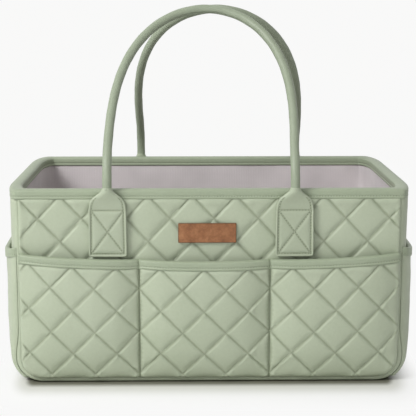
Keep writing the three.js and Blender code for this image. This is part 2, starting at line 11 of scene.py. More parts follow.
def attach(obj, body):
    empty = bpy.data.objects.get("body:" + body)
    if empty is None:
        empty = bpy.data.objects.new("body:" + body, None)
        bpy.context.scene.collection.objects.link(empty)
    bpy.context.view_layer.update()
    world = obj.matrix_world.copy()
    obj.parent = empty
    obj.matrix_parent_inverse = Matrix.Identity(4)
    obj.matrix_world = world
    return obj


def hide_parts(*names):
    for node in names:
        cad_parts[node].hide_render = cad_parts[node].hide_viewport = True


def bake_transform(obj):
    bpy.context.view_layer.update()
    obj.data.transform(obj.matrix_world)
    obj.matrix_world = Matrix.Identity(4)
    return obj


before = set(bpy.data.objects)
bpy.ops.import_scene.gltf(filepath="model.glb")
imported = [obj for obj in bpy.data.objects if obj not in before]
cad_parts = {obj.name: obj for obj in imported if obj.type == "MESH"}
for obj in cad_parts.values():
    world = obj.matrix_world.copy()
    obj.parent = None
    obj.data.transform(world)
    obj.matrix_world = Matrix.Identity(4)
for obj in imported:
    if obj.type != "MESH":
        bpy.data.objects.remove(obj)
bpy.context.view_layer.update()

# Studio: a pale seamless floor under soft light from the upper left, with weaker lamps in
# front, above and on the right, seen by a camera a little above the rim.
scene = bpy.context.scene
scene.view_settings.view_transform = "Standard"
backdrop_white = (0.945, 0.945, 0.94, 1.0)
floor_reach = 12.0
foot_half = (0.164, 0.114, 0.0)
camera_dip, camera_turn = 0.1716, 0.0151


def add_object(name, data):
    """A new object in the scene."""
    made = bpy.data.objects.new(name, data)
    scene.collection.objects.link(made)
    return made


def softbox(name, place, aim, width, tall, watts):
    """A rectangular lamp at a place, turned to face a point."""
    lamp = bpy.data.lights.new(name, "AREA")
    lamp.shape = "RECTANGLE"
    lamp.size, lamp.size_y = width, tall
    lamp.energy = watts
    stand = add_object(name, lamp)
    stand.location = place
    stand.rotation_euler = (Vector(aim) - Vector(place)).to_track_quat("-Z", "Y").to_euler()


def new_node(tree, kind, values=(), **settings):
    """A new node with its settings, and the values of its inputs by name or number."""
    made = tree.nodes.new(kind)
    for setting, value in settings.items():
        setattr(made, setting, value)
    for socket, value in dict(values).items():
        made.inputs[socket].default_value = value
    return made


def wire(tree, *runs):
    """Joins nodes: each run is a node, its output, a second node and its input."""
    for giver, output, taker, socket in runs:
        tree.links.new(giver.outputs[output], taker.inputs[socket])


def colour_ramp(tree, *stops, interpolation="LINEAR"):
    """A colour ramp through stops of place and colour, in order."""
    made = tree.nodes.new("ShaderNodeValToRGB")
    made.color_ramp.interpolation = interpolation
    elements = made.color_ramp.elements
    for element, (place, colour) in zip(elements, (stops[0], stops[-1])):
        element.position = place
        element.color = (*colour, 1.0)
    for place, colour in stops[1:-1]:
        elements.new(place).color = (*colour, 1.0)
    return made


def new_finish(name, values=()):
    """A new material with its node tree, its shader and the piece's own coordinates."""
    material = bpy.data.materials.new(name)
    material.use_nodes = True
    tree = material.node_tree
    shader = tree.nodes["Principled BSDF"]
    for socket, value in dict(values).items():
        shader.inputs[socket].default_value = value
    return material, tree, shader, new_node(tree, "ShaderNodeTexCoord")


camera_data = bpy.data.cameras.new("camera")
camera_data.sensor_width = 36.0
camera_data.lens = 103.86
camera = add_object("camera", camera_data)
camera.location = (-0.0180, -1.2028, 0.3532)
camera.rotation_euler = (math.pi / 2 - camera_dip, 0.0, -camera_turn)
scene.camera = camera

softbox("key_light", (-1.15, -0.95, 1.30), (0.0, 0.0, 0.10), 0.70, 0.70, 27.5)
softbox("front_light", (-0.60, -2.2, 0.8), (0.0, 0.0, 0.12), 1.4, 1.0, 5.0)
softbox("top_light", (0.0, 0.45, 1.7), (0.0, 0.0, 0.15), 1.3, 1.0, 2.5)
softbox("right_light", (1.7, -0.5, 0.8), (0.0, 0.0, 0.12), 0.9, 0.9, 1.1)

world = bpy.data.worlds.new("studio")
scene.world = world
world.use_nodes = True
air = world.node_tree
air.nodes.clear()
air_out = new_node(air, "ShaderNodeOutputWorld")
seen = new_node(air, "ShaderNodeBackground", {"Color": backdrop_white, "Strength": 1.0})
ambient = new_node(air, "ShaderNodeBackground",
                   {"Color": (1.0, 0.995, 0.98, 1.0), "Strength": 0.37})
ray = new_node(air, "ShaderNodeLightPath")
through = new_node(air, "ShaderNodeMath", operation="MAXIMUM")
looked_at = new_node(air, "ShaderNodeMath", operation="MAXIMUM")
air_mix = new_node(air, "ShaderNodeMixShader")
wire(air,
     (ray, "Is Camera Ray", through, 0), (ray, "Is Transmission Ray", through, 1),
     (through, 0, looked_at, 0), (ray, "Is Glossy Ray", looked_at, 1),
     (looked_at, 0, air_mix, 0), (ambient, 0, air_mix, 1), (seen, 0, air_mix, 2),
     (air_mix, 0, air_out, "Surface"))

floor_mesh = bpy.data.meshes.new("floor")
floor_mesh.from_pydata(
    [(-floor_reach, -floor_reach, 0), (floor_reach, -floor_reach, 0),
     (floor_reach, floor_reach, 0), (-floor_reach, floor_reach, 0)],
    [], [(0, 1, 2, 3)],
)
floor = add_object("floor", floor_mesh)
paper, sheet, paper_shader, where = new_finish(
    "floor_paper", {"Roughness": 0.9, "Specular IOR Level": 0.1})
# Painted contact shadow: the floor's colour darkens near the caddy's footprint, more in front than at the
# sides, standing in for the shade under its base.
footprint = new_node(sheet, "ShaderNodeVectorMath", operation="ABSOLUTE")
beyond = new_node(sheet, "ShaderNodeVectorMath", {1: foot_half}, operation="SUBTRACT")
outside = new_node(sheet, "ShaderNodeVectorMath", {1: (0.0, 0.0, 0.0)}, operation="MAXIMUM")
narrower = new_node(sheet, "ShaderNodeVectorMath", {1: (2.2, 1.0, 0.0)}, operation="MULTIPLY")
off_foot = new_node(sheet, "ShaderNodeVectorMath", operation="LENGTH")
painted_contact_shadow = colour_ramp(
    sheet, (0.0, (0.10, 0.10, 0.07)), (0.17, (0.18, 0.18, 0.14)), (0.42, (0.68, 0.68, 0.64)),
    (1.0, (0.93, 0.93, 0.93)), interpolation="EASE")
painted_shadow_spread = new_node(sheet, "ShaderNodeMapRange", {"From Max": 0.055})
fade = new_node(sheet, "ShaderNodeMapRange", {"From Min": 0.008, "From Max": 0.090},
                interpolation_type="SMOOTHSTEP")
far_glow = new_node(sheet, "ShaderNodeEmission", {"Color": backdrop_white})
floor_ray = new_node(sheet, "ShaderNodeLightPath")
only_seen = new_node(sheet, "ShaderNodeMath", operation="MULTIPLY")
paper_mix = new_node(sheet, "ShaderNodeMixShader")
wire(sheet,
     (where, "Object", footprint, 0), (footprint, "Vector", beyond, 0),
     (beyond, "Vector", outside, 0), (outside, "Vector", narrower, 0),
     (narrower, "Vector", off_foot, 0), (off_foot, "Value", painted_shadow_spread, "Value"),
     (painted_shadow_spread, "Result", painted_contact_shadow, "Fac"), (painted_contact_shadow, "Color", paper_shader, "Base Color"),
     (off_foot, "Value", fade, "Value"), (fade, "Result", only_seen, 0),
     (floor_ray, "Is Camera Ray", only_seen, 1), (only_seen, 0, paper_mix, 0),
     (paper_shader, 0, paper_mix, 1), (far_glow, 0, paper_mix, 2),
     (paper_mix, 0, sheet.nodes["Material Output"], "Surface"))
floor_mesh.materials.append(paper)

# Gusset: one wide strip of plain artificial leather that runs down one end, under the base
# and up the other end. Its edges are turned in and sewn to the front and back, so it rolls
# over into a deep crease beside them.
panel_half = 0.176
gusset_half = 0.1137
lip, base_lip = 0.0029, 0.0031
slack = 0.06
rim_bulge = 0.0105
corner_radius = 0.020
end_bulge, base_bulge = 0.012, 0.004
end_run, base_run = 0.050, 0.008
taper_height = 0.060
skin = 0.004
wall_top = 0.1814
corner_x = panel_half - corner_radius
corner_z = base_bulge + corner_radius


def object_of(name, points, faces, material=None):
    """A mesh object from points and faces, shaded smooth."""
    mesh = bpy.data.meshes.new(name)
    mesh.from_pydata([tuple(p) for p in points], [], [tuple(int(i) for i in f) for f in faces])
    mesh.update()
    if material:
        mesh.materials.append(material)
    mesh.polygons.foreach_set("use_smooth", [True] * len(mesh.polygons))
    return add_object(name, mesh)


def outward(made, fill=False):
    """Turns a closed mesh's faces to point out, after filling its hole and merging doubles."""
    work = bmesh.new()
    work.from_mesh(made.data)
    if fill:
        bmesh.ops.holes_fill(work, edges=[e for e in work.edges if e.is_boundary], sides=0)
    bmesh.ops.remove_doubles(work, verts=work.verts, dist=1e-6)
    bmesh.ops.recalc_face_normals(work, faces=work.faces)
    work.to_mesh(made.data)
    work.free()
    return made


def loft(name, sections, material, ring=False):
    """A skin through closed sections that all have the same number of points."""
    sections = np.asarray(sections, float)
    count, size = sections.shape[:2]
    faces = []
    for i in range(count if ring else count - 1):
        near, far = i * size, (i + 1) % count * size
        for j in range(size):
            k = (j + 1) % size
            faces.append((near + j, near + k, far + k, far + j))
    if not ring:
        faces += [range(size), range((count - 1) * size, count * size)]
    return outward(object_of(name, sections.reshape(-1, 3), faces, material))


def declare(made, body="caddy", node=None):
    """Puts a piece in its body, and hides the node of the frame that it stands for."""
    if node:
        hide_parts(node)
    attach(made, body)


def leather(name, dark, mid, pale, grain=0.10, rough=(0.40, 0.56), cloud_scale=14.0):
    """Coated cloth with a fine pebble grain, cloudy in colour, darkened by painted shade in creases and
    stitch lines, and at a label's burnt cut edges.
    """
    material, tree, shader, place = new_finish(name, {"Specular IOR Level": 0.42})
    cloud = new_node(tree, "ShaderNodeTexNoise", {"Scale": cloud_scale, "Detail": 4.0})
    speck = new_node(tree, "ShaderNodeTexNoise", {"Scale": 420.0, "Detail": 3.0})
    ramp = colour_ramp(tree, (0.30, dark), (0.50, mid), (0.72, pale))
    blend = new_node(tree, "ShaderNodeMix", {"Factor": 0.35}, data_type="FLOAT")
    pebbles = new_node(tree, "ShaderNodeTexVoronoi", {"Scale": 950.0, "Smoothness": 0.6},
                       feature="SMOOTH_F1")
    creases = new_node(tree, "ShaderNodeTexVoronoi", {"Scale": 430.0}, feature="DISTANCE_TO_EDGE")
    crease_edge = new_node(tree, "ShaderNodeMapRange", {"From Max": 0.10})
    heights = new_node(tree, "ShaderNodeMath", {1: 0.5}, operation="MULTIPLY_ADD")
    bump = new_node(tree, "ShaderNodeBump", {"Strength": grain, "Distance": 0.0003})
    roughness = new_node(tree, "ShaderNodeMapRange", {"From Min": 0.3, "From Max": 0.7,
                                                      "To Min": rough[0], "To Max": rough[1]})
    painted_shade_and_burnt_edge = new_node(tree, "ShaderNodeAttribute", attribute_name="painted_shade_and_burnt_edge")
    # Painted shade: the colour is multiplied darker where the piece's attribute says, for the shade in
    # quilting channels, seams and stitch grooves; on the label it marks the burnt cut edges, which are
    # its own colour.
    shade = new_node(tree, "ShaderNodeMix", {"B": (0.50, 0.51, 0.46, 1.0)},
                     data_type="RGBA", blend_type="MULTIPLY")
    wire(tree,
         *((place, "Object", texture, "Vector") for texture in (cloud, speck, pebbles, creases)),
         (cloud, "Fac", blend, "A"), (speck, "Fac", blend, "B"), (blend, "Result", ramp, "Fac"),
         (ramp, "Color", shade, "A"), (painted_shade_and_burnt_edge, "Fac", shade, "Factor"),
         (shade, "Result", shader, "Base Color"), (creases, "Distance", crease_edge, "Value"),
         (crease_edge, "Result", heights, 0), (pebbles, "Distance", heights, 2),
         (heights, 0, bump, "Height"), (bump, "Normal", shader, "Normal"),
         (speck, "Fac", roughness, "Value"), (roughness, "Result", shader, "Roughness"))
    return material


sage = leather("sage_leather", (0.372, 0.420, 0.305), (0.402, 0.451, 0.333), (0.432, 0.482, 0.362))


def wave(points, size, seed=0.0):
    """Smooth noise from -1 to 1 at each point, with features of about that size."""
    start = Vector((seed, 2 * seed, -seed))
    return np.array([noise.noise(Vector(p) / size + start) for p in points])


def fullness_at(run):
    """Share of the end wall's bulge at a distance down from where it starts to fade."""
    taper = taper_height - corner_z + corner_radius * math.pi / 2
    return math.cos(min(max(run, 0.0) / taper, 1.0) * math.pi / 2) ** 1.6


def bulge_at(z):
    """The end wall's bulge at a height: held in by the tape at the rim, slack below it."""
    tape_depth, slack_depth = 0.008, 0.028
    below_rim = min(max((wall_top - tape_depth - z) / slack_depth, 0.0), 1.0)
    slack_bulge = end_bulge + slack * (end_bulge - base_bulge)
    return rim_bulge + (slack_bulge - rim_bulge) * math.sin(below_rim * math.pi / 2) ** 2


def strip_courses(top, levels, turns=10, lowest=math.pi / 2):
    """Places down the right end and round its corner: x, z, angle and fullness."""
    courses = []
    for z in np.linspace(top, corner_z, levels):
        held = (end_bulge - bulge_at(z)) / (end_bulge - base_bulge)
        courses.append((panel_half, z, 0.0, fullness_at(taper_height - z) * (1.0 - held)))
    for angle in np.linspace(0.0, lowest, turns)[1:]:
        run = taper_height - corner_z + corner_radius * angle
        x = corner_x + corner_radius * math.cos(angle)
        z = corner_z - corner_radius * math.sin(angle)
        courses.append((x, z, angle, fullness_at(run) * (1.0 + slack)))
    return courses


def lip_at(fullness):
    """Width of the strip's rolled lip past the seam: wider under the base."""
    return lip + base_lip * max(1.0 - fullness, 0.0)


def strip_out(y, fullness):
    """How far the strip stands out from the seam line, rolling over to nothing at its lip."""
    bulge = base_bulge + (end_bulge - base_bulge) * fullness
    run = base_run + (end_run - base_run) * fullness
    past = np.clip((np.abs(y) - (gusset_half - run)) / (run + lip_at(fullness)), 0.0, 1.0)
    power = 2.0 + 2.5 * max(1.0 - fullness, 0.0)
    return bulge * (1.0 - past**power) ** (1.0 / power)


def strip_across(fullness, reach, middle=14, side=12):
    """Places across the strip, close together where it rolls over."""
    run = base_run + (end_run - base_run) * fullness
    flat = gusset_half - run
    curled = flat + (reach - flat) * np.sin(np.linspace(0.0, math.pi / 2, side))
    return np.concatenate([-curled[::-1], np.linspace(-flat, flat, middle)[1:-1], curled])


def as_points(*parts):
    """Points from their coordinates, each an array or one number for all."""
    return np.stack(np.broadcast_arrays(*parts), axis=-1)


def on_course(course, y, out):
    """Points out from a course by a distance, at y."""
    x, z, angle = course[:3]
    return as_points(x + out * math.cos(angle), y, z - out * math.sin(angle))


right_courses = strip_courses(wall_top, 26)
gusset_courses = (
    right_courses
    + [(x, base_bulge, math.pi / 2, 0.0) for x in np.linspace(corner_x, -corner_x, 42)[1:-1]]
    + [(-x, z, math.pi - angle, full) for x, z, angle, full in reversed(right_courses)]
)
inner_edge = gusset_half - 0.0002
creased_within, least_sway = 0.003, 0.15
gusset_sections = []
for course in gusset_courses:
    full = course[3]
    across = strip_across(full, gusset_half + lip_at(full))
    out = strip_out(across, full)
    outer = on_course(course, across, out)
    sway = wave(outer, 0.034) * 0.0006 + wave(outer, 0.011, 3.0) * 0.00018
    room = np.clip(out / creased_within, 0.0, 1.0) * (least_sway + (1 - least_sway) * full)
    outer = on_course(course, across, out + sway * room)
    inner = on_course(course, np.clip(across, -inner_edge, inner_edge), out - skin)
    gusset_sections.append(np.concatenate([outer, inner[::-1]]))
gusset = loft("gusset_leather", gusset_sections, sage)
declare(gusset, node="gusset")

# Quilted front and back: artificial leather over wadding, stitched through in diamonds, with
# its edges turned in along the seam. The front wall shows above the pocket, and the pocket
# is three bays of the same quilting. The back is the front turned half way round.
face_half = 0.118
rim_height = 0.183
rim_drop = 0.0093
clearance = 0.0003
pocket_height, pocket_sag = 0.1238, 0.0063
pocket_bulge, pocket_thickness = 0.010, 0.003
pocket_drop = 0.0087
tape = 0.0013
pocket_seams = (-0.0651, 0.0557)
quilt_pitch = 0.0405
panel_crossing = (-0.0365, 0.1555)
pocket_crossing = (0.0152, 0.0952)
quilt_rise = 1.064
puff_height, puff_dome = 0.0019, 0.0007
falling_run, rising_run, shaded_run = 0.0032, 0.0026, 0.0054
pucker_height, pucker_size, pucker_reach = 0.00024, 0.0024, 0.0012
cells_a_diamond = 14
runout_start, runout, faint_channel = 0.0016, 0.0048, 0.3
lines_each_way, shortest_line = 14, 8
seam_pinch, edge_roll = 0.0022, 0.0024
pocket_bound = pocket_height - pocket_drop - clearance
panel_bound = rim_height - rim_drop - clearance
hidden_below = 0.108
panel_back_y = -0.1141
pressed_y = -0.1201
tab_foot = 0.119
thread_depth, thread_step, seam_step = 0.0003, 0.0006, 0.0008
panel_thread_low, pocket_thread_low, seam_thread_low = 0.112, 0.008, 0.007
thread_gap = 0.001
sewn_half, edge_half = 0.0003, 0.0004
channel_shade, seam_shade = 0.0007, 0.0005
handle_shift, back_shift, arm_spacing, tab_width = 0.0078, 0.0134, 0.1715, 0.0352
label_half_width, label_half_height = 0.02675, 0.00915
label_x, label_z = -0.0023, 0.1424


def outline_distance(x, z):
    """Distance in from the seam line, whose lower corners are round."""
    straight = np.minimum(panel_half - np.abs(x), z - base_bulge)
    round_corner = corner_radius - np.hypot(np.abs(x) - corner_x, z - corner_z)
    in_corner = (np.abs(x) > corner_x) & (z < corner_z)
    return np.where(in_corner, round_corner, straight)


def channel_offsets(x, z, crossing):
    """Signed distances from the nearest falling and the nearest rising line of stitches."""
    found = []
    for way in (1.0, -1.0):
        along = (x - crossing[0]) + way * (z - crossing[1]) / quilt_rise
        off = (along + quilt_pitch / 2) % quilt_pitch - quilt_pitch / 2
        found.append(off / math.sqrt(2.0))
    return found


def rolled(distance, run):
    """A quarter round from 0 at an edge to 1 at a distance in."""
    return np.sqrt(1.0 - (1.0 - np.clip(distance / run, 0.0, 1.0)) ** 2)


def smooth(share):
    """A share eased at 0 and at 1."""
    share = np.clip(share, 0.0, 1.0)
    return share * share * (3.0 - 2.0 * share)


def bell(distance, width):
    """1 at a line, falling off to nothing within a few widths of it."""
    return np.exp(-((distance / width) ** 2))


def channel_share(x, z):
    """How much of a channel's depth is left where the quilting runs out by the seams."""
    return smooth((outline_distance(x, z) - runout_start) / runout)


def puff(x, z, crossing, top):
    """Height of the quilting over its wall."""
    across = 1.0
    dome = 1.0
    falling, rising = channel_offsets(x, z, crossing)
    runs = (falling_run, np.where(rising > 0.0, rising_run, shaded_run))
    for off, run in zip((np.abs(falling), np.abs(rising)), runs):
        across = across * (1.0 - (1.0 - np.clip(off / run, 0.0, 1.0)) ** 2.2)
        dome = dome * np.sin(np.clip(off / (quilt_pitch / math.sqrt(8.0)), 0, 1) * math.pi / 2)
    share = channel_share(x, z)
    body = 1.0 - share * (1.0 - across)
    edges = rolled(outline_distance(x, z), edge_roll) * rolled(top - z, seam_pinch)
    near = np.minimum(np.abs(falling), np.abs(rising)) / pucker_reach
    pucker = wave(as_points(x, 0.0, z), pucker_size, 11.0)
    pucker = pucker_height * pucker * share * near * np.exp(1.0 - near)
    return (puff_height * body + puff_dome * dome * share + pucker) * edges


def bay_share(x):
    """Share of the full bulge that a pocket bay has, none at its seams."""
    share = np.zeros_like(x)
    edges = (-panel_half, *pocket_seams, panel_half)
    for start, end in zip(edges, edges[1:]):
        across = 2 * (x - start) / (end - start) - 1
        share = np.where((x >= start) & (x <= end), 1 - np.abs(across) ** 3, share)
    return share


def pocket_level(z):
    """Share of the pocket's height, from its seam to where its tape starts."""
    return np.clip((z - base_bulge) / (pocket_bound - base_bulge), 0.0, 1.0)


def pocket_top_at(x):
    """Height of the pocket's top edge, which sags between its ends."""
    return pocket_height - pocket_sag * (1 - (x / panel_half) ** 2)


def pocket_standoff(x, level):
    """How far the pocket's inner side stands out from the panel at a share of its height."""
    profile = (1 - (1 - level) ** 4) * (1 - level**3 / 4)
    return clearance + (tape + clearance) * level**4 + pocket_bulge * bay_share(x) * profile


def pocket_place(x, z, out):
    """A point of the front pocket, out from its wall and as far down as its top edge sags."""
    drop = (pocket_height - pocket_top_at(x)) * pocket_level(z)
    return as_points(x, -face_half - out, z - drop)


def panel_place(x, z, out):
    """A point of the front panel, out from its wall."""
    return as_points(x, -face_half - out, z)


def quilting_net(crossing, top, seams):
    """Small squares set along the quilting lines and cut to the panel's outline."""
    marks = np.arange(-9 * cells_a_diamond, 9 * cells_a_diamond + 1)
    whole, part = np.divmod(marks, cells_a_diamond)
    part = part / cells_a_diamond
    eased = np.where(part < 0.5, 0.5 * (2 * part) ** 1.7, 1.0 - 0.5 * (2 - 2 * part) ** 1.7)
    lines = (whole + eased) * quilt_pitch / 2
    work = bmesh.new()
    found = {}

    def corner(i, j):
        """The net's corner on two of the lines, made once."""
        if (i, j) not in found:
            found[i, j] = work.verts.new((crossing[0] + lines[i] + lines[j], 0.0,
                                          crossing[1] + quilt_rise * (lines[i] - lines[j])))
        return found[i, j]

    spare, sliver = quilt_pitch / 8, 0.00025
    for i in range(len(lines) - 1):
        x = crossing[0] + lines[i] + lines[1:]
        z = crossing[1] + quilt_rise * (lines[i] - lines[1:])
        kept = (np.abs(x) < panel_half + spare) & (z > base_bulge - spare) & (z < top + spare)
        for j in np.flatnonzero(kept) + 1:
            work.faces.new([corner(i, j), corner(i, j - 1), corner(i + 1, j - 1), corner(i + 1, j)])
    cuts = [(-panel_half, 0, -1, 0), (panel_half, 0, 1, 0), (0, base_bulge, 0, -1), (0, top, 0, 1)]
    for side in (-1, 1):
        for angle in np.linspace(0.0, math.pi / 2, 11)[1:-1]:
            way_x, way_z = side * math.cos(angle), -math.sin(angle)
            cuts.append((side * corner_x + corner_radius * way_x,
                         corner_z + corner_radius * way_z, way_x, way_z))
    outer_cuts = len(cuts)
    cuts += [(x, 0, 1, 0) for x in seams]
    for k, (x, z, way_x, way_z) in enumerate(cuts):
        bmesh.ops.bisect_plane(
            work, geom=work.verts[:] + work.edges[:] + work.faces[:], dist=1e-6,
            plane_co=(x, 0, z), plane_no=(way_x, 0, way_z), clear_outer=k < outer_cuts)
    bmesh.ops.remove_doubles(work, verts=work.verts, dist=sliver)
    work.verts.index_update()
    points = np.array([v.co for v in work.verts])
    faces = [[v.index for v in f.verts] for f in work.faces]
    rim = [[loop.vert.index, loop.link_loop_next.vert.index]
           for e in work.edges if e.is_boundary for loop in e.link_loops]
    work.free()
    return points[:, 0], points[:, 2], faces, rim


def places_of(mesh):
    """The places of a mesh's vertices."""
    places = np.empty(len(mesh.vertices) * 3)
    mesh.vertices.foreach_get("co", places)
    return places.reshape(-1, 3)


def write_values(mesh, title, values, kind="FLOAT", domain="POINT", field="value"):
    """Writes an attribute of a mesh."""
    mesh.attributes.new(title, kind, domain).data.foreach_set(field, values)


def applied(made):
    """Puts what a piece's modifiers make into its mesh for good."""
    bpy.context.view_layer.update()
    depsgraph = bpy.context.evaluated_depsgraph_get()
    result = bpy.data.meshes.new_from_object(made.evaluated_get(depsgraph))
    made.modifiers.clear()
    made.data = result


def puffed_by_cloth(points, faces, sewn):
    """Blows a sheet out between its sewn lines, as wadding does, and lets it wrinkle."""
    scale, last_step, most = 25.0, 14, 0.0010
    trial = object_of("cloth_trial", points * scale, faces)
    group = trial.vertex_groups.new(name="sewn")
    group.add([int(i) for i in np.flatnonzero(sewn)], 1.0, "REPLACE")
    cloth = trial.modifiers.new("Cloth", "CLOTH")
    settings = cloth.settings
    settings.quality = 5
    settings.mass = 0.3
    settings.air_damping = 2.0
    settings.tension_stiffness = settings.compression_stiffness = 15.0
    settings.shear_stiffness = 5.0
    settings.bending_stiffness = 0.6
    settings.vertex_group_mass = "sewn"
    settings.pin_stiffness = 1.0
    settings.use_pressure = True
    settings.uniform_pressure_force = 0.7
    settings.shrink_min = -0.022
    settings.effector_weights.gravity = 0.0
    cloth.collision_settings.use_collision = False
    cloth.collision_settings.use_self_collision = False
    cloth.point_cache.frame_start = 1
    cloth.point_cache.frame_end = last_step
    for step in range(1, last_step + 1):
        scene.frame_set(step)
    blown = trial.evaluated_get(bpy.context.evaluated_depsgraph_get()).to_mesh()
    shift = places_of(blown) / scale - points
    bpy.data.objects.remove(trial)
    scene.frame_set(1)
    length = np.linalg.norm(shift, axis=1, keepdims=True)
    return points + shift * np.minimum(1.0, most / np.maximum(length, 1e-9))


def ordered_rim(rim):
    """The vertices of the boundary's edges, one after the other."""
    following = dict(rim)
    chain = [rim[0][0]]
    while following[chain[-1]] != chain[0]:
        chain.append(following[chain[-1]])
    return chain


def closed_quilt(name, points, behind, faces, rim, creased, painted_shade_and_burnt_edge, flat_back):
    """The quilted face with its turned edges and its back, smoothed once."""
    size = len(points)
    if flat_back:
        loop = ordered_rim(rim)
        spots = np.concatenate([points, behind[loop]])
        back = {v: size + k for k, v in enumerate(loop)}
        all_faces = faces + [[b, a, back[a], back[b]] for a, b in rim]
    else:
        spots = np.concatenate([points, behind])
        walls = [[b, a, a + size, b + size] for a, b in rim]
        all_faces = faces + walls + [[v + size for v in reversed(f)] for f in faces]
    made = object_of(name, spots, all_faces, sage)
    # Painted shade along the channels and seams, on the quilted face only.
    shade = np.zeros(len(spots))
    shade[:size] = painted_shade_and_burnt_edge
    write_values(made.data, "painted_shade_and_burnt_edge", shade)
    ends = np.array([e.vertices[:] for e in made.data.edges])
    inside = np.where(ends < size, ends, 0)
    sharp = (ends < size).all(axis=1) & creased[inside[:, 0]] & creased[inside[:, 1]]
    write_values(made.data, "crease_edge", np.where(sharp, 1.0, 0.0), domain="EDGE")
    finer = made.modifiers.new("Subdivision", "SUBSURF")
    finer.levels = finer.render_levels = 1
    applied(made)
    made.data.polygons.foreach_set("use_smooth", [True] * len(made.data.polygons))
    return outward(made, fill=flat_back)


def quilt(crossing, top, bound, place, inner_out, thickness, seams):
    """Points of a quilted face and of the back behind it, with what its net knows."""
    x, z, faces, rim = quilting_net(crossing, top, seams)
    height = puff(x, z, crossing, bound)
    seam_off = np.full_like(x, 1.0)
    for seam in seams:
        seam_off = np.minimum(seam_off, np.abs(x - seam))
    down = rolled(seam_off, seam_pinch)
    edge_off = outline_distance(x, z)
    thin = 0.45 + 0.55 * rolled(edge_off, 0.0040)
    inner = inner_out(x, z)
    out = inner + thickness * thin * (0.76 + 0.24 * down) + height * down
    channel_off = np.minimum(*np.abs(channel_offsets(x, z, crossing)))
    on_channel = (channel_off < sewn_half) & (channel_share(x, z) > faint_channel) & (z < bound)
    on_seam = seam_off < sewn_half
    on_edge = (edge_off < edge_half) | (z > bound - edge_half) | on_seam
    points = puffed_by_cloth(place(x, z, out), faces, on_channel | on_edge)
    # Painted shade: darker colour along the stitched channels and the bay seams, where shade falls in
    # them.
    near = np.minimum(channel_off, seam_off)
    drawn = bell(near, channel_shade) * smooth(edge_off / edge_roll) * (z < bound) * 0.95
    drawn = np.maximum(drawn, 0.5 * bell(seam_off, seam_shade))
    return points, place(x, z, inner), faces, rim, on_channel | on_seam, drawn * 0.8


def thread_lines(crossing, low, top):
    """Runs of points along the quilting lines, as x and z."""
    runs = []
    for way in (1.0, -1.0):
        for k in range(-lines_each_way, lines_each_way + 1):
            z = np.arange(low, top, thread_step)
            x = crossing[0] + k * quilt_pitch - way * (z - crossing[1]) / quilt_rise
            inside = (np.abs(x) < panel_half) & (channel_share(x, z) > faint_channel)
            ends = np.flatnonzero(np.diff(inside.astype(int))) + 1
            for run in np.split(np.arange(len(z)), ends):
                if inside[run[0]] and len(run) > shortest_line:
                    runs.append((x[run], z[run]))
    return runs


def sewing_tree():
    """Geometry nodes that lay stitches along lines, and dark beads between them at the needle holes:
    painted shade for the shadow in each hole.
    """
    tree = bpy.data.node_groups.new("sewing", "GeometryNodeTree")
    ids = {}
    for title, kind in (("Lines", "Geometry"), ("Pitch", "Float"), ("Stitch length", "Float"),
                        ("Thread", "Float"), ("Hole", "Float"), ("Thread material", "Material"),
                        ("Hole material", "Material")):
        socket = tree.interface.new_socket(title, in_out="INPUT", socket_type="NodeSocket" + kind)
        ids[title] = socket.identifier
    tree.interface.new_socket("Sewing", in_out="OUTPUT", socket_type="NodeSocketGeometry")
    given = new_node(tree, "NodeGroupInput")
    result = new_node(tree, "NodeGroupOutput")
    curve = new_node(tree, "GeometryNodeMeshToCurve")
    half_pitch = new_node(tree, "ShaderNodeMath", {1: 0.5}, operation="MULTIPLY")
    resample = new_node(tree, "GeometryNodeResampleCurve", mode="LENGTH")
    tangent = new_node(tree, "GeometryNodeInputTangent")
    up = new_node(tree, "GeometryNodeInputNamedAttribute", {"Name": "outward"},
                  data_type="FLOAT_VECTOR")
    turn = new_node(tree, "FunctionNodeAxesToRotation", primary_axis="X", secondary_axis="Z")
    index = new_node(tree, "GeometryNodeInputIndex")
    odd = new_node(tree, "ShaderNodeMath", {1: 2.0}, operation="MODULO")
    even = new_node(tree, "ShaderNodeMath", {0: 1.0}, operation="SUBTRACT")
    join = new_node(tree, "GeometryNodeJoinGeometry")
    wire(tree,
         (given, "Lines", curve, 0), (given, "Pitch", half_pitch, 0),
         (curve, 0, resample, "Curve"), (half_pitch, 0, resample, "Length"),
         (tangent, 0, turn, "Primary Axis"), (up, "Attribute", turn, "Secondary Axis"),
         (index, 0, odd, 0), (odd, 0, even, 1))
    for chosen, long, wide, tall, material in (
        (even, "Stitch length", "Thread", 1.0, "Thread material"),
        (odd, "Hole", "Hole", 0.4, "Hole material"),
    ):
        bead = new_node(tree, "GeometryNodeMeshUVSphere",
                        {"Segments": 6, "Rings": 4, "Radius": 0.5})
        flatten = new_node(tree, "ShaderNodeMath", {1: tall}, operation="MULTIPLY")
        sizes = new_node(tree, "ShaderNodeCombineXYZ")
        scatter = new_node(tree, "GeometryNodeInstanceOnPoints")
        real = new_node(tree, "GeometryNodeRealizeInstances")
        paint = new_node(tree, "GeometryNodeSetMaterial")
        soft = new_node(tree, "GeometryNodeSetShadeSmooth")
        wire(tree,
             (given, long, sizes, "X"), (given, wide, sizes, "Y"), (given, wide, flatten, 0),
             (flatten, 0, sizes, "Z"), (resample, 0, scatter, "Points"),
             (chosen, 0, scatter, "Selection"), (bead, "Mesh", scatter, "Instance"),
             (turn, 0, scatter, "Rotation"), (sizes, 0, scatter, "Scale"),
             (scatter, 0, soft, "Geometry"), (soft, 0, real, 0), (real, 0, paint, "Geometry"),
             (given, material, paint, "Material"), (paint, 0, join, 0))
    wire(tree, (join, 0, result, 0))
    return tree, ids


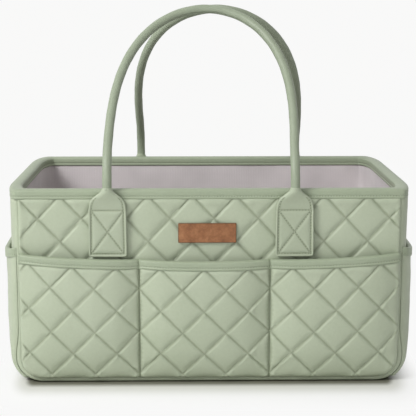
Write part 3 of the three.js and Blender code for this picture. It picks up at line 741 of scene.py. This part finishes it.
def plain_finish(name, colour, rough, spread=0.12, scale=900.0):
    """A matt finish whose colour varies a little at a small scale."""
    material, tree, shader, place = new_finish(name, {"Roughness": rough})
    speck = new_node(tree, "ShaderNodeTexNoise", {"Scale": scale})
    ramp = colour_ramp(tree, (0.3, [c * (1 - spread) for c in colour]),
                       (0.7, [c * (1 + spread) for c in colour]))
    bump = new_node(tree, "ShaderNodeBump", {"Strength": 0.2, "Distance": 0.0002})
    wire(tree,
         (place, "Object", speck, "Vector"), (speck, "Fac", ramp, "Fac"),
         (speck, "Fac", bump, "Height"), (ramp, "Color", shader, "Base Color"),
         (bump, "Normal", shader, "Normal"))
    return material


thread = plain_finish("sage_thread", (0.43, 0.485, 0.355), 0.6)
# The needle holes are dark beads: painted shade standing for the shadow inside each hole.
needle_hole_shade = plain_finish("needle_hole_shade", (0.13, 0.15, 0.10), 0.9)
sewing, sewing_inputs = sewing_tree()


def sew(name, runs, pitch=0.0030, length=0.0020, width=0.00055, hole=0.0008,
        slot="leather", body="caddy"):
    """Stitches along runs of points, each run a pair of places and outward directions."""
    spots = np.concatenate([places for places, _ in runs])
    outwards = np.concatenate([ways for _, ways in runs])
    edges, start = [], 0
    for places, _ in runs:
        edges += [(start + k, start + k + 1) for k in range(len(places) - 1)]
        start += len(places)
    mesh = bpy.data.meshes.new(name)
    mesh.from_pydata([tuple(p) for p in spots], edges, [])
    write_values(mesh, "outward", outwards.ravel(), kind="FLOAT_VECTOR", field="vector")
    made = add_object(name, mesh)
    nodes = made.modifiers.new("Sewing", "NODES")
    nodes.node_group = sewing
    for title, value in (("Pitch", pitch), ("Stitch length", length), ("Thread", width),
                         ("Hole", hole), ("Thread material", thread),
                         ("Hole material", needle_hole_shade)):
        nodes[sewing_inputs[title]] = value
    applied(made)
    declare(made, body)
    return made


def height_field(made):
    """Finds the outermost point of a front piece at x and z."""
    before_all = -0.30
    work = bmesh.new()
    work.from_mesh(made.data)
    tree = BVHTree.FromBMesh(work)
    work.free()

    def at(x, z):
        """The surface's y there, or the wall's where nothing is hit."""
        hit = tree.ray_cast(Vector((x, before_all, z)), Vector((0, 1, 0)))[0]
        return hit.y if hit else -face_half

    return at


def laid_on(at, x, z, sink=0.0, gap=0.0022):
    """A run of points on a front piece and the way its surface faces there."""

    def depths(right, up):
        """The surface's y along the run, moved to the right and up."""
        return np.array([at(a + right, b + up) for a, b in zip(x, z)])

    ways = as_points((depths(gap, 0) - depths(-gap, 0)) / (2 * gap), -1.0,
                     (depths(0, gap) - depths(0, -gap)) / (2 * gap))
    ways /= np.linalg.norm(ways, axis=1, keepdims=True)
    return as_points(x, depths(0, 0), z) - ways * sink, ways


def turned_copy(made, name, shift=0.0):
    """The back's piece: a front piece turned half way round, and moved along by a length."""
    mesh = made.data.copy()
    turned = places_of(mesh) * (-1.0, -1.0, 1.0) + (shift, 0.0, 0.0)
    mesh.vertices.foreach_set("co", turned.ravel())
    mesh.update()
    return add_object(name, mesh)


def panel_inner(x, z):
    """The panel's inner side lies in the wall's plane."""
    return np.zeros_like(x)


def pocket_inner(x, z):
    """How far the pocket's inner side stands out from the panel."""
    return pocket_standoff(x, pocket_level(z))


panel_points, panel_behind, panel_faces, panel_rim, panel_creased, panel_painted_shade = quilt(
    panel_crossing, wall_top, panel_bound, panel_place, panel_inner, 0.0, ())
hidden = panel_points[:, 2] < hidden_below
panel_points[hidden, 1] = np.maximum(panel_points[hidden, 1], -face_half)
panel_painted_shade = np.where(hidden, 0.0, panel_painted_shade)
panel_behind[:, 1] = panel_back_y


def pressed_panel(name, shift, patch):
    """A quilted panel, pressed flat under the tabs of its handle and under the patch."""
    points = panel_points.copy()
    x, z = points[:, 0], points[:, 2]
    pressed = patch & (np.abs(x - label_x) < label_half_width)
    pressed &= np.abs(z - label_z) < label_half_height
    for side in (-1, 1):
        middle = side * arm_spacing / 2 - shift
        pressed |= (np.abs(x - middle) < tab_width / 2) & (z > tab_foot)
    points[pressed, 1] = np.maximum(points[pressed, 1], pressed_y)
    return closed_quilt(name, points, panel_behind, panel_faces, panel_rim, panel_creased,
                        panel_painted_shade, True)


front_panel = pressed_panel("front_panel_quilted", handle_shift, True)
unturned = pressed_panel("back_panel_unturned", back_shift, False)
back_panel = turned_copy(unturned, "back_panel_quilted")
bpy.data.objects.remove(unturned)
front_pocket = closed_quilt("front_pocket_quilted", *quilt(
    pocket_crossing, pocket_height - clearance - tape, pocket_bound, pocket_place, pocket_inner,
    pocket_thickness, pocket_seams), False)
back_pocket = turned_copy(front_pocket, "back_pocket_quilted")
for quilted, node, fill in ((front_panel, "front_panel", 0.5), (back_panel, "back_panel", 0.5),
                            (front_pocket, "front_pocket", 0.6), (back_pocket, "back_pocket", 0.6)):
    declare(quilted, node=node)

panel_at = height_field(front_panel)
pocket_at = height_field(front_pocket)


def pocket_run(x, z):
    """A line of stitches on the pocket, which sags with it."""
    placed = pocket_place(x, z, np.zeros_like(x))
    return laid_on(pocket_at, placed[:, 0], placed[:, 2], sink=thread_depth)


quilting_runs = [laid_on(panel_at, x, z, sink=thread_depth)
                 for x, z in thread_lines(panel_crossing, panel_thread_low, panel_bound - thread_gap)]
quilting_runs += [pocket_run(x, z)
                  for x, z in thread_lines(pocket_crossing, pocket_thread_low, pocket_bound - thread_gap)]
seam_heights = np.arange(seam_thread_low, pocket_bound, seam_step)
quilting_runs += [pocket_run(np.full_like(seam_heights, x), seam_heights) for x in pocket_seams]
front_quilting = sew("front_quilting_stitches", quilting_runs)
declare(turned_copy(front_quilting, "back_quilting_stitches"))

# Pressed boards inside the walls and under the lining, which stiffen the tub. They are plain
# grey-brown board, glued between the leather and the lining, and stay as the frame has them.
pressed_board = plain_finish("pressed_board", (0.46, 0.40, 0.31), 0.85, spread=0.22, scale=260.0)
for node in ("base_board", "front_board", "back_board", "left_board", "right_board"):
    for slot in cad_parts[node].material_slots:
        slot.material = pressed_board

# Lining: a sewn tub of plain grey-mauve cloth, held at the rim by the binding and loose
# enough to ripple a little. Its corner seams run down the walls.
lining_offset, lining_inner = 0.0071, 0.0086
floor_round, floor_draw = 0.030, 0.024
seam_sink, seam_half, corner_from = 0.0006, 0.0012, 0.09
loose_cloth, held_run = 0.0005, 0.02


def plan_outline(end, side, bulge):
    """The tub's outline from above, drawn in at the ends and at the sides."""
    along, across = 44, 12
    angles = np.linspace(0.0, math.pi / 2, 14)
    x = panel_half - end + bulge * np.cos(angles)
    y = face_half - end_run + (end_run - side) * np.sin(angles)
    quarter = as_points(x, y)
    long_side = as_points(np.linspace(x[-1], -x[-1], along + 2)[1:-1], y[-1])
    short_side = as_points(-x[0], np.linspace(y[0], -y[0], across + 2)[1:-1])
    half = np.concatenate([quarter, long_side, quarter[::-1] * (-1, 1), short_side])
    return np.concatenate([half, -half])


def woven(name, colour, rough=0.85, threads=1500.0):
    """Plain cloth: two sets of fine threads, a little uneven in colour, with a soft sheen."""
    material, tree, shader, place = new_finish(
        name, {"Roughness": rough, "Sheen Weight": 0.25, "Sheen Roughness": 0.5})
    weave = new_node(tree, "ShaderNodeMath", operation="MULTIPLY")
    for k, (direction, turn) in enumerate((("X", math.pi / 4), ("Z", 0.0))):
        lie = new_node(tree, "ShaderNodeMapping", {"Rotation": (0.0, 0.0, turn)})
        lines = new_node(tree, "ShaderNodeTexWave", {"Scale": threads / math.tau, "Distortion": 0.6,
                                                     "Detail": 1.0}, bands_direction=direction)
        wire(tree, (place, "Object", lie, "Vector"), (lie, "Vector", lines, "Vector"),
             (lines, "Fac", weave, k))
    cloud = new_node(tree, "ShaderNodeTexNoise", {"Scale": 22.0})
    tones = new_node(tree, "ShaderNodeMath", {1: 0.12}, operation="MULTIPLY_ADD")
    ramp = colour_ramp(tree, (0.15, [c * 0.84 for c in colour]), (0.85, [c * 1.14 for c in colour]))
    bump = new_node(tree, "ShaderNodeBump", {"Strength": 0.35, "Distance": 0.0003})
    wire(tree,
         (place, "Object", cloud, "Vector"), (weave, 0, tones, 0), (cloud, "Fac", tones, 2),
         (tones, 0, ramp, "Fac"), (ramp, "Color", shader, "Base Color"),
         (weave, 0, bump, "Height"), (bump, "Normal", shader, "Normal"))
    return material


# The lining's cloth is its own grey-mauve painted lighter than the same cloth on the divider, standing in
# for light bounced into the tub by its contents.
mauve_cloth_painted_light = woven("mauve_cloth_painted_light", (0.62, 0.572, 0.580))


def lining_rings(offset, ripple):
    """Rings of the lining from its floor up to the rim, in from the walls by an offset."""
    rings = []
    for angle in np.linspace(0.0, math.pi / 2, 9):
        drawn = 1 - math.sin(angle)
        rings.append((offset + floor_round * (1 - math.cos(angle)),
                      offset + floor_draw * drawn, offset + 0.002 * drawn))
    for z in np.linspace(offset + floor_round, wall_top, 26)[1:]:
        rings.append((z, offset, offset))
    placed = []
    for z, end, side in rings:
        plan = plan_outline(end, side, min(bulge_at(z), end_bulge))
        points = as_points(*plan.T, z)
        if ripple:
            outwards = plan / np.linalg.norm(plan, axis=1, keepdims=True)
            loose = (wave(points * (1, 1, 0.45), 0.030, 5.0) * 0.0007
                     + wave(points * (1, 1, 0.3), 0.012, 8.0) * 0.0003)
            corner_off = np.abs(np.abs(plan[:, 0]) - (panel_half - end))
            seam = bell(corner_off, seam_half) * (np.abs(plan[:, 1]) > corner_from)
            held = smooth((z - offset) / held_run) * smooth((wall_top - z) / held_run)
            points[:, :2] -= outwards * ((loose + loose_cloth) * held - seam_sink * seam)[:, None]
        placed.append(points)
    return placed


lining_sections = lining_rings(lining_offset, False) + lining_rings(lining_inner, True)[::-1]
lining = loft("lining_cloth", lining_sections, mauve_cloth_painted_light)
declare(lining, node="lining")

# End pockets: one plain piece of the leather round each end, sewn in at the same seams as the
# gusset and under the corner, and full enough to stand off the wall.
end_pocket_height, end_pocket_thickness = 0.128, 0.0025
end_pocket_bulge, end_pocket_rise = 0.0058, 0.030
end_pocket_reach, end_pocket_sag = 0.1158, 0.008
end_pocket_turn = math.radians(54)
thin_edge = 0.0006


def across_end(y):
    """Share of the way from the middle of the end pocket to its edge."""
    return np.minimum(np.abs(y / end_pocket_reach), 1.0)


def end_standoff(y, run):
    """How far the end pocket stands off the wall at a distance up from its lower seam."""
    across = (1 - across_end(y) ** 2) ** 1.2
    rise = min(run / end_pocket_rise, 1.0)
    return clearance + end_pocket_bulge * across * math.sin(rise * math.pi / 2)


def end_sag(y, z):
    """How far the end pocket hangs down at a place: most in the middle of its mouth."""
    level = smooth((z - taper_height) / (end_pocket_height - taper_height))
    return end_pocket_sag * level * (1 - across_end(y) ** 4)


end_top = end_pocket_height - clearance - tape
corner_length = corner_radius * end_pocket_turn
end_sections = []
for course in strip_courses(end_top, 30, turns=9, lowest=end_pocket_turn):
    x, z, angle, full = course
    run = corner_length - corner_radius * angle if angle > 0 else z - corner_z + corner_length
    across = strip_across(full, end_pocket_reach, middle=22)
    inner_out = strip_out(across, full) + end_standoff(across, run)
    inner = on_course(course, across, inner_out)
    sway = (wave(inner * (1, 1, 0.5), 0.040, 2.0) * 0.0012
            + wave(inner * (1, 0.6, 1), 0.013, 6.0) * 0.00025)
    held = rolled(end_pocket_reach - np.abs(across), 0.004) * min(run / 0.01, 1.0)
    held = held * smooth((end_top - 0.011 - z) / 0.015) if angle == 0 else held
    edge = rolled(end_pocket_reach - np.abs(across), 0.0022)
    hem = 0.3 + 0.7 * rolled(run, 0.003)
    leather_out = thin_edge + (end_pocket_thickness - thin_edge) * edge * hem
    outer = on_course(course, across, inner_out + leather_out + sway * held)
    for side_points in (outer, inner):
        side_points[:, 2] -= end_sag(across, z)
    end_sections.append(np.concatenate([outer, inner[::-1]]))
right_pocket = loft("right_pocket_leather", end_sections, sage)
left_pocket = turned_copy(right_pocket, "left_pocket_leather")
for pocket, node in ((right_pocket, "right_pocket"), (left_pocket, "left_pocket")):
    declare(pocket, node=node)

# Bindings: strips of the leather folded over each raw edge and sewn through near their lower
# edge, which turns up in a thin lip under the stitches.
binding_leather = leather("binding_leather", (0.284, 0.331, 0.232), (0.312, 0.361, 0.255),
                          (0.342, 0.391, 0.283), grain=0.08, rough=(0.38, 0.52))
thin_tape = 0.0009
rim_round, tape_round = 0.0024, 0.0018
binding_stitch = {"pitch": 0.0026, "length": 0.0019, "width": 0.0005}


def tape_profile(near, far, top, drop, round_top, swell=0.0002, tape=tape):
    """A folded tape over an edge: distances out and heights, outside first, then inside."""
    lower = top - drop
    side = far + clearance
    other = near - clearance
    leg = [(0.0001, 0.0), (tape - 0.0002, 0.0), (tape + swell * 0.8, 0.0007), (tape + swell, 0.0013),
           (tape + swell * 0.4, 0.0019), (tape - 0.0004, 0.0025), (tape + swell * 0.4, 0.0031),
           (tape + swell * 0.9, 0.0042), (tape + swell, drop - round_top)]
    outer = [(side + out, lower + up) for out, up in leg]
    middle, reach = (side + other) / 2, (side - other) / 2 + tape + swell
    outer += [(middle + reach * math.cos(a), top - round_top + round_top * math.sin(a))
              for a in np.linspace(0.0, math.pi, 13)[1:-1]]
    outer += [(other - out, lower + up) for out, up in reversed(leg)]
    bend = top - tape
    inside = [(other, lower + 0.001), (other, bend), (side, bend), (side, lower + 0.001)]
    return np.array(outer + inside), (side + tape - 0.0004, lower + 0.0025)


def bound_edge(name, node, stations, place, body="caddy", ring=False):
    """A binding through stations, each with its profile, and the run of its stitch line."""
    sections, stitches = [], []
    for station, (profile, stitch) in stations:
        sections.append([place(station, out, z) for out, z in profile])
        stitches.append((place(station, *stitch), place(station, stitch[0] + 0.001, stitch[1])))
    made = loft(name, sections, binding_leather, ring=ring)
    declare(made, body, node)
    spots = np.array([a for a, _ in stitches])
    ways = np.array([b for _, b in stitches]) - spots
    if ring:
        spots, ways = np.vstack([spots, spots[:1]]), np.vstack([ways, ways[:1]])
    return made, (spots, ways / np.linalg.norm(ways, axis=1, keepdims=True))


rim_tape = tape_profile(-lining_inner, 0.0, rim_height, rim_drop, rim_round, tape=thin_tape)
outlines = {}


def rim_place(station, out, z):
    """A point of the rim's tape, out from the seam line at a station of its outline."""
    key = round(out * 1e6)
    if key not in outlines:
        outlines[key] = plan_outline(-out, -out, rim_bulge)
    x, y = outlines[key][station]
    return (x, y, z)


rim_stations = [(i, rim_tape) for i in range(len(plan_outline(0.0, 0.0, rim_bulge)))]
_, rim_run = bound_edge("rim_binding_tape", "rim_binding", rim_stations, rim_place, ring=True)

pocket_xs = np.unique(np.concatenate([
    np.linspace(-panel_half, panel_half, 110),
    *(seam + np.linspace(-0.004, 0.004, 17) for seam in pocket_seams)]))
pocket_stations = []
for x in pocket_xs:
    pinch = sum(math.exp(-(((x - seam) / 0.0010) ** 2)) for seam in pocket_seams)
    near = float(pocket_standoff(np.array([x]), 1.0)[0])
    far = near + pocket_thickness * (1 - 0.25 * pinch)
    top = float(pocket_top_at(x)) - 0.0003 * pinch
    pocket_stations.append((x, tape_profile(near, far, top, pocket_drop, tape_round,
                                            swell=0.0003 * (1 - pinch))))
front_tape, front_tape_run = bound_edge(
    "front_pocket_binding_tape", "front_pocket_binding", pocket_stations,
    lambda x, out, z: (x, -face_half - out, z))
back_tape = turned_copy(front_tape, "back_pocket_binding_tape")
declare(back_tape, node="back_pocket_binding")

end_stations = []
for y in strip_across(1.0 + slack, end_pocket_reach, middle=30, side=20):
    near = float(strip_out(y, 1.0 + slack) + end_standoff(y, end_pocket_rise))
    closing = 0.10 + 0.90 * float(rolled(end_pocket_reach - abs(y), 0.0028))
    profile, (stitch_out, stitch_up) = tape_profile(
        near, near + end_pocket_thickness, end_pocket_height, pocket_drop, tape_round,
        swell=0.0, tape=thin_tape)
    profile[:, 0] = near + (profile[:, 0] - near) * closing
    end_stations.append((y, (profile, (near + (stitch_out - near) * closing, stitch_up))))
right_tape, right_tape_run = bound_edge(
    "right_pocket_binding_tape", "right_pocket_binding", end_stations,
    lambda y, out, z: (panel_half + out, y, z - end_sag(y, z)))
left_tape = turned_copy(right_tape, "left_pocket_binding_tape")
declare(left_tape, node="left_pocket_binding")

sew("rim_stitches", [rim_run], **binding_stitch)
front_tape_sewing = sew("front_binding_stitches", [front_tape_run, right_tape_run], **binding_stitch)
declare(turned_copy(front_tape_sewing, "back_binding_stitches"))

# Tabs: the flat ends of the handles, double leather sewn round the edge and across with a
# cross in a box. Their shoulders draw in and swell to the round neck that the roll leaves.
outer_layer = 0.0023
doubled_leather = leather("doubled_leather", (0.342, 0.388, 0.281), (0.370, 0.417, 0.306),
                          (0.397, 0.445, 0.333))
roll_radius = 0.0043
neck_top = 0.1852
tab_bottom = float(pocket_top_at(arm_spacing / 2 + handle_shift)) + 0.0016
tab_shoulder = rim_height - 0.019
back_move = back_shift - handle_shift
tab_thickness = 0.003
tab_corner = 0.0025
tab_stitch_in = 0.0026
tab_stitch_top, tab_stitch_step = 0.1745, 0.0006
tab_lip, tab_sunk, tab_swell = 0.0005, 0.0003, 0.0006
shoulder_up = (0.0, 0.30, 0.49, 0.69, 0.82, 0.93, 1.0)
shoulder_width = (0.978, 0.935, 0.835, 0.54, 0.33, 0.26, 0.245)
shoulder_round = (0.04, 0.26, 0.50, 0.82, 1.0, 1.0, 1.0)
tab_heights = np.r_[tab_bottom, tab_shoulder + (neck_top - tab_shoulder) * np.array(shoulder_up)]


def eased(z, values, window=0.0016):
    """The tab's values by height, averaged over a short window so that they have no corners."""
    shifts = np.linspace(-window, window, 9)
    return np.mean([np.interp(z + shift, tab_heights, values) for shift in shifts], axis=0)


def tab_half_width(z):
    """Half the tab's width at a height, with round lower corners."""
    wide = eased(z, np.r_[1.0, shoulder_width]) * tab_width / 2
    inset = np.clip(1 - (z - tab_bottom) / tab_corner, 0.0, 1.0)
    return np.maximum(wide, roll_radius) - tab_corner * (1 - np.sqrt(1 - inset**2))


def tab_roundness(z):
    """How round the tab is at a height: 0 where it is flat, 1 at its neck."""
    return eased(z, np.r_[0.0, shoulder_round])


def line_distance(x, z, start, end):
    """Distance from a straight line of stitches."""
    run = np.array(end) - np.array(start)
    share = np.clip(((x - start[0]) * run[0] + (z - start[1]) * run[1]) / (run @ run), 0.0, 1.0)
    return np.hypot(x - start[0] - share * run[0], z - start[1] - share * run[1])


box_half = tab_width / 2 - tab_stitch_in
box_low = tab_bottom + tab_stitch_in
box_lines = [((-box_half, tab_shoulder), (box_half, tab_shoulder)),
             ((-box_half, box_low), (box_half, tab_shoulder)),
             ((-box_half, tab_shoulder), (box_half, box_low))]


def tab_relief(x, z):
    """Height of the tab's face: a lip, the sunk stitch lines and soft swells between them."""
    edge = np.minimum(tab_half_width(z) - np.abs(x), z - tab_bottom)
    lines = np.minimum.reduce([line_distance(x, z, a, b) for a, b in box_lines])
    lines = np.minimum(lines, np.abs(edge - tab_stitch_in))
    relief = tab_lip * bell(edge - 0.0009, 0.0008) - tab_sunk * bell(lines, 0.0005)
    swell = tab_swell * (1 - bell(lines, 0.0020)) * (z < tab_shoulder)
    return (relief + swell) * (1 - smooth(tab_roundness(z) * 2.2)), lines


def tab_shade(x, y, z):
    """How much painted shade darkens the tab's face along its sunk stitch lines."""
    lines = tab_relief(x, z)[1]
    facing = (y < -face_half - outer_layer - tab_thickness / 2) & (z < tab_shoulder + 0.012)
    return bell(lines, 0.0007) * facing * 0.95


def make_tab(name, middle):
    """A tab of the front handle, from sections up its height."""
    levels = np.concatenate([
        tab_bottom + tab_corner * (1 - np.cos(np.linspace(0, math.pi / 2, 7))),
        np.arange(tab_bottom + 0.0029, tab_shoulder - 0.0002, 0.00045),
        np.linspace(tab_shoulder, neck_top, 40)])
    turn = np.linspace(0.0, math.tau, 161)[:-1]
    sections = []
    for z in levels:
        half_width = tab_half_width(z)
        full_round = tab_roundness(z)
        half_thick = (tab_thickness + (2 * roll_radius - tab_thickness) * full_round) / 2
        power = 2 + 7 * (1 - smooth(full_round)) ** 2
        x = half_width * np.cos(turn)
        out = half_thick * (1 - (np.abs(x) / half_width) ** power) ** (1 / power)
        out = np.where(np.abs(np.sin(turn)) < 1e-9, 0.0, out * np.sign(np.sin(turn)))
        relief, _ = tab_relief(x, np.full_like(x, z))
        out = out + np.where(np.sin(turn) > 0.05, relief, 0.0)
        y = -face_half - outer_layer - half_thick - out
        sections.append(as_points(middle + x, y, z))
    made = loft(name, sections, doubled_leather)
    spots = places_of(made.data)
    # Painted shade in the grooves of the stitch lines on its face.
    write_values(made.data, "painted_shade_and_burnt_edge", tab_shade(spots[:, 0] - middle, spots[:, 1], spots[:, 2]))
    return made


def tab_runs(made, middle):
    """The stitch lines of one tab."""
    at = height_field(made)
    down = np.arange(tab_stitch_top, box_low + 2 * tab_stitch_step, -tab_stitch_step)
    side = tab_half_width(down) - tab_stitch_in
    low_half = box_half - 2 * tab_stitch_step
    low_x = np.linspace(-low_half, low_half, 50)
    runs = [(np.concatenate([-side, low_x, side[::-1]]),
             np.concatenate([down, np.full(50, box_low), down[::-1]]))]
    for (x0, z0), (x1, z1) in box_lines:
        count = int(math.hypot(x1 - x0, z1 - z0) / tab_stitch_step)
        runs.append((np.linspace(x0, x1, count), np.linspace(z0, z1, count)))
    return [laid_on(at, middle + x, z, gap=0.0012) for x, z in runs]


front_tabs, tab_sewing = [], []
for name, side in (("front_left_tab", -1), ("front_right_tab", 1)):
    middle = side * arm_spacing / 2 - handle_shift
    tab = make_tab(name + "_leather", middle)
    front_tabs.append(tab)
    tab_sewing += tab_runs(tab, middle)
back_tabs = [turned_copy(front_tabs[0], "back_right_tab_leather", back_move),
             turned_copy(front_tabs[1], "back_left_tab_leather", back_move)]
for tab, node in zip(front_tabs + back_tabs,
                     ("front_left_tab", "front_right_tab", "back_right_tab", "back_left_tab")):
    declare(tab, node=node)
front_tab_sewing = sew("front_tab_stitches", tab_sewing, pitch=0.0027, width=0.0005, hole=0.0006)
declare(turned_copy(front_tab_sewing, "back_tab_stitches", back_move))

# Handles: leather rolled round a twisted rope, sewn to itself along the inside of the arch.
# The neck above each tab is soft and bends where the handle swings; here each handle is built at rest.
handle_rise, neck_bend, arch_start, handle_lean = 0.1594, 0.045, 0.0385, 0.006
upright_share, arch_share = 0.12, 0.88
neck_y = -face_half - outer_layer - roll_radius
neck_base = 0.18515
neck_foot = 0.0018
path_points, path_smoothing = 540, 8
hub_back, hub_height = 0.05, 0.255
meeting_gap = 0.00015
inward = -neck_y - roll_radius - meeting_gap - neck_bend
straight = math.sqrt(handle_rise**2 + inward**2 - neck_bend**2)
lean = math.atan2(inward, handle_rise) + math.atan2(neck_bend, straight)
bend_length = neck_bend * lean


def handle_point(t):
    """The handle's middle line: up from the neck, in over the tub and round the arch."""
    side = -1 if t < 0.5 else 1
    along = 2 * min(t, 1 - t)
    upright = min(along / upright_share, 1.0)
    turn = max(along - upright_share, 0.0) / arch_share * math.pi / 2
    risen = math.sin(turn) ** (2 / 2.8)
    run = arch_start * upright + (bend_length + straight - arch_start) * risen
    angle = min(run / neck_bend, lean)
    past = max(run - bend_length, 0.0)
    return np.array([side * math.cos(turn) * arm_spacing / 2 + handle_lean * risen - handle_shift,
                     neck_y + neck_bend * (1 - math.cos(angle)) + past * math.sin(angle),
                     neck_base + neck_bend * math.sin(angle) + past * math.cos(angle)])


def even_path(points, count):
    """The same path with its points at even steps."""
    lengths = np.r_[0.0, np.cumsum(np.linalg.norm(np.diff(points, axis=0), axis=1))]
    steps = np.linspace(0.0, lengths[-1], count)
    return as_points(*(np.interp(steps, lengths, points[:, k]) for k in range(3))), steps


path = np.array([handle_point(t) for t in np.linspace(0.0, 1.0, 4001)])
path = np.vstack([path[0] - (0, 0, neck_foot), path, path[-1] - (0, 0, neck_foot)])
path, steps = even_path(path, path_points)
for _ in range(path_smoothing):
    path[1:-1] = (path[:-2] + 2 * path[1:-1] + path[2:]) / 4
tangents = np.gradient(path, axis=0)
tangents /= np.linalg.norm(tangents, axis=1, keepdims=True)
hub = np.array([-handle_shift, neck_y + hub_back, hub_height])
inner_way = hub - path
inner_way -= (inner_way * tangents).sum(axis=1, keepdims=True) * tangents
inner_way /= np.linalg.norm(inner_way, axis=1, keepdims=True)
side_way = np.cross(tangents, inner_way)


def tube(name, radius_at, sides, material):
    """A tube round the handle's path. radius_at gives the radius by turn and by length."""
    turns = np.linspace(0.0, math.tau, sides + 1)[:-1]
    sections = []
    for k in range(len(path)):
        radius = radius_at(turns, steps[k])[:, None]
        ring = np.cos(turns)[:, None] * inner_way[k] + np.sin(turns)[:, None] * side_way[k]
        sections.append(path[k] + ring * radius)
    return loft(name, sections, material)


def roll_at(turns, step):
    """Radius of the rolled leather, with the groove of its seam and a little unevenness."""
    overlap = np.abs((turns + math.pi) % math.tau - math.pi)
    groove = 0.00035 * bell(overlap, 0.10) - 0.00012 * bell(overlap - 0.45, 0.25)
    uneven = 0.00007 * np.sin(step * 260 + 2 * turns) + 0.00002 * np.sin(step * 610 - turns)
    return roll_radius - 0.00005 - groove + uneven


def rope_at(turns, step):
    """Radius of the rope, whose three strands twist along it."""
    radius, strand, twist = 0.0021, 0.0003, 340
    return radius + strand * np.abs(np.cos(1.5 * (turns - step * twist)))


rolled_leather = leather("rolled_leather", (0.252, 0.292, 0.209), (0.272, 0.314, 0.227),
                         (0.292, 0.336, 0.246), grain=0.0, rough=(0.44, 0.50))
rope_fibre = plain_finish("rope_fibre", (0.72, 0.67, 0.56), 0.9, spread=0.15, scale=700.0)
front_roll = tube("front_handle_leather", roll_at, 64, rolled_leather)
front_rope = tube("front_handle_rope", rope_at, 18, rope_fibre)
back_roll = turned_copy(front_roll, "back_handle_leather", back_move)
back_rope = turned_copy(front_rope, "back_handle_rope", back_move)
for made, node, slot, side in (
    (front_roll, "front_handle_cover", "leather", 1), (front_rope, "front_handle_core", "rope", 1),
    (back_roll, "back_handle_cover", "leather", -1), (back_rope, "back_handle_core", "rope", -1),
):
    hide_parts(node)
    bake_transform(made)

# Label: a small patch of mottled brown leather, darker at its cut edges. Its face is bare,
# and no stitches are laid on it.
label_low_y, label_thickness, label_corner = 0.1202, 0.0016, 0.0008
cut_edge = 0.0007
tan_leather = leather("tan_leather", (0.160, 0.060, 0.022), (0.250, 0.103, 0.040),
                      (0.370, 0.170, 0.074), grain=0.30, rough=(0.45, 0.65), cloud_scale=130.0)


def crowded(half, count):
    """Places from -half to half, close together near both ends."""
    return half * np.sin(np.linspace(-math.pi / 2, math.pi / 2, count))


def label_section(x):
    """A section of the patch across its height, with round edges."""
    end_in = max(abs(x) - (label_half_width - label_corner), 0.0)
    half = label_half_height - label_corner + math.sqrt(max(label_corner**2 - end_in**2, 0.0))
    z = crowded(half, 61) * 0.999
    edge = np.minimum(half - np.abs(z), label_half_width - abs(x))
    out = label_thickness * (0.45 + 0.55 * rolled(edge, cut_edge))
    front = as_points(label_x + x, -label_low_y - out, label_z + z)
    back = as_points(label_x + x, -label_low_y, label_z + z)
    return np.concatenate([front, back[::-1]])


label_xs = crowded(label_half_width, 121) * 0.9995
label = loft("label_patch", [label_section(x) for x in label_xs], tan_leather)
declare(label, node="label")
label_off = np.abs(places_of(label.data) - (label_x, 0.0, label_z))
label_edge = np.minimum(label_half_width - label_off[:, 0], label_half_height - label_off[:, 2])
write_values(label.data, "painted_shade_and_burnt_edge", 0.9 * bell(label_edge, cut_edge))

# Divider insert: three padded boards covered in the lining's cloth, two across and one
# between them, each with a binding along its top. It lifts out as one.
floor_z = 0.0089
divider_half, divider_height, divider_thickness = 0.1072, 0.122, 0.008
divider_at, divider_corner = 0.055, 0.010
middle_height = divider_height - 0.014
middle_half = divider_at - divider_thickness / 2 - clearance
pad_line, pad_line_half, pad_line_depth = 0.036, 0.0012, 0.0006
pad_swell, pad_lift, pad_round = 0.0005, 0.0002, 0.0034
padding_cloth = woven("padding_cloth", (0.42, 0.38, 0.37), rough=0.9, threads=1200.0)


def pad(name, half, top, place, crossing):
    """A padded wall with round edges: sections along its length."""
    sections = []
    for u in crowded(half, 70) * 0.9999:
        corner = max(abs(u) - (half - divider_corner), 0.0) if crossing else 0.0
        low = floor_z + divider_corner - math.sqrt(max(divider_corner**2 - corner**2, 0.0)) + pad_lift
        z = low + (top - low) * (0.5 - 0.5 * np.cos(np.linspace(0.0, math.pi, 44)))
        soft = 0.5 + 0.5 * rolled(np.minimum(half - abs(u), z - low), 0.005)
        up = np.sin(np.clip((z - low) / (top - low), 0, 1) * math.pi)
        swell = pad_swell * up * rolled(half - abs(u), 0.02)
        stitched = pad_line_depth * bell(abs(u) - pad_line, pad_line_half) if crossing else 0.0
        out = divider_thickness / 2 * soft + swell - stitched * np.clip((z - low) / 0.01, 0, 1)
        sections.append(np.concatenate([place(u, out, z), place(u, -out, z)[::-1]]))
    return loft(name, sections, padding_cloth)


insert_runs = []
for side, middle, half, height in (("left", -divider_at, divider_half, divider_height),
                                   ("right", divider_at, divider_half, divider_height),
                                   ("middle", None, middle_half, middle_height)):
    crossing = middle is not None

    def divider_place(u, out, z):
        """A point of this divider: along it, out from its middle plane and up."""
        return as_points(middle + out, u, z) if crossing else as_points(u, out, z)

    wall = pad(side + "_divider_pad", half, floor_z + height - tape - clearance,
               divider_place, crossing)
    profile = tape_profile(-divider_thickness / 2, divider_thickness / 2, floor_z + height,
                           pocket_drop, pad_round)
    _, run = bound_edge(
        side + "_divider_binding_tape", side + "_divider_binding",
        [(u, profile) for u in np.linspace(-half, half, 60)], divider_place,
        body="divider_insert")
    insert_runs.append(run)
    declare(wall, "divider_insert", side + "_divider")
sew("insert_stitches", insert_runs, pitch=0.0028, width=0.0005, slot="divider_binding",
    body="divider_insert")
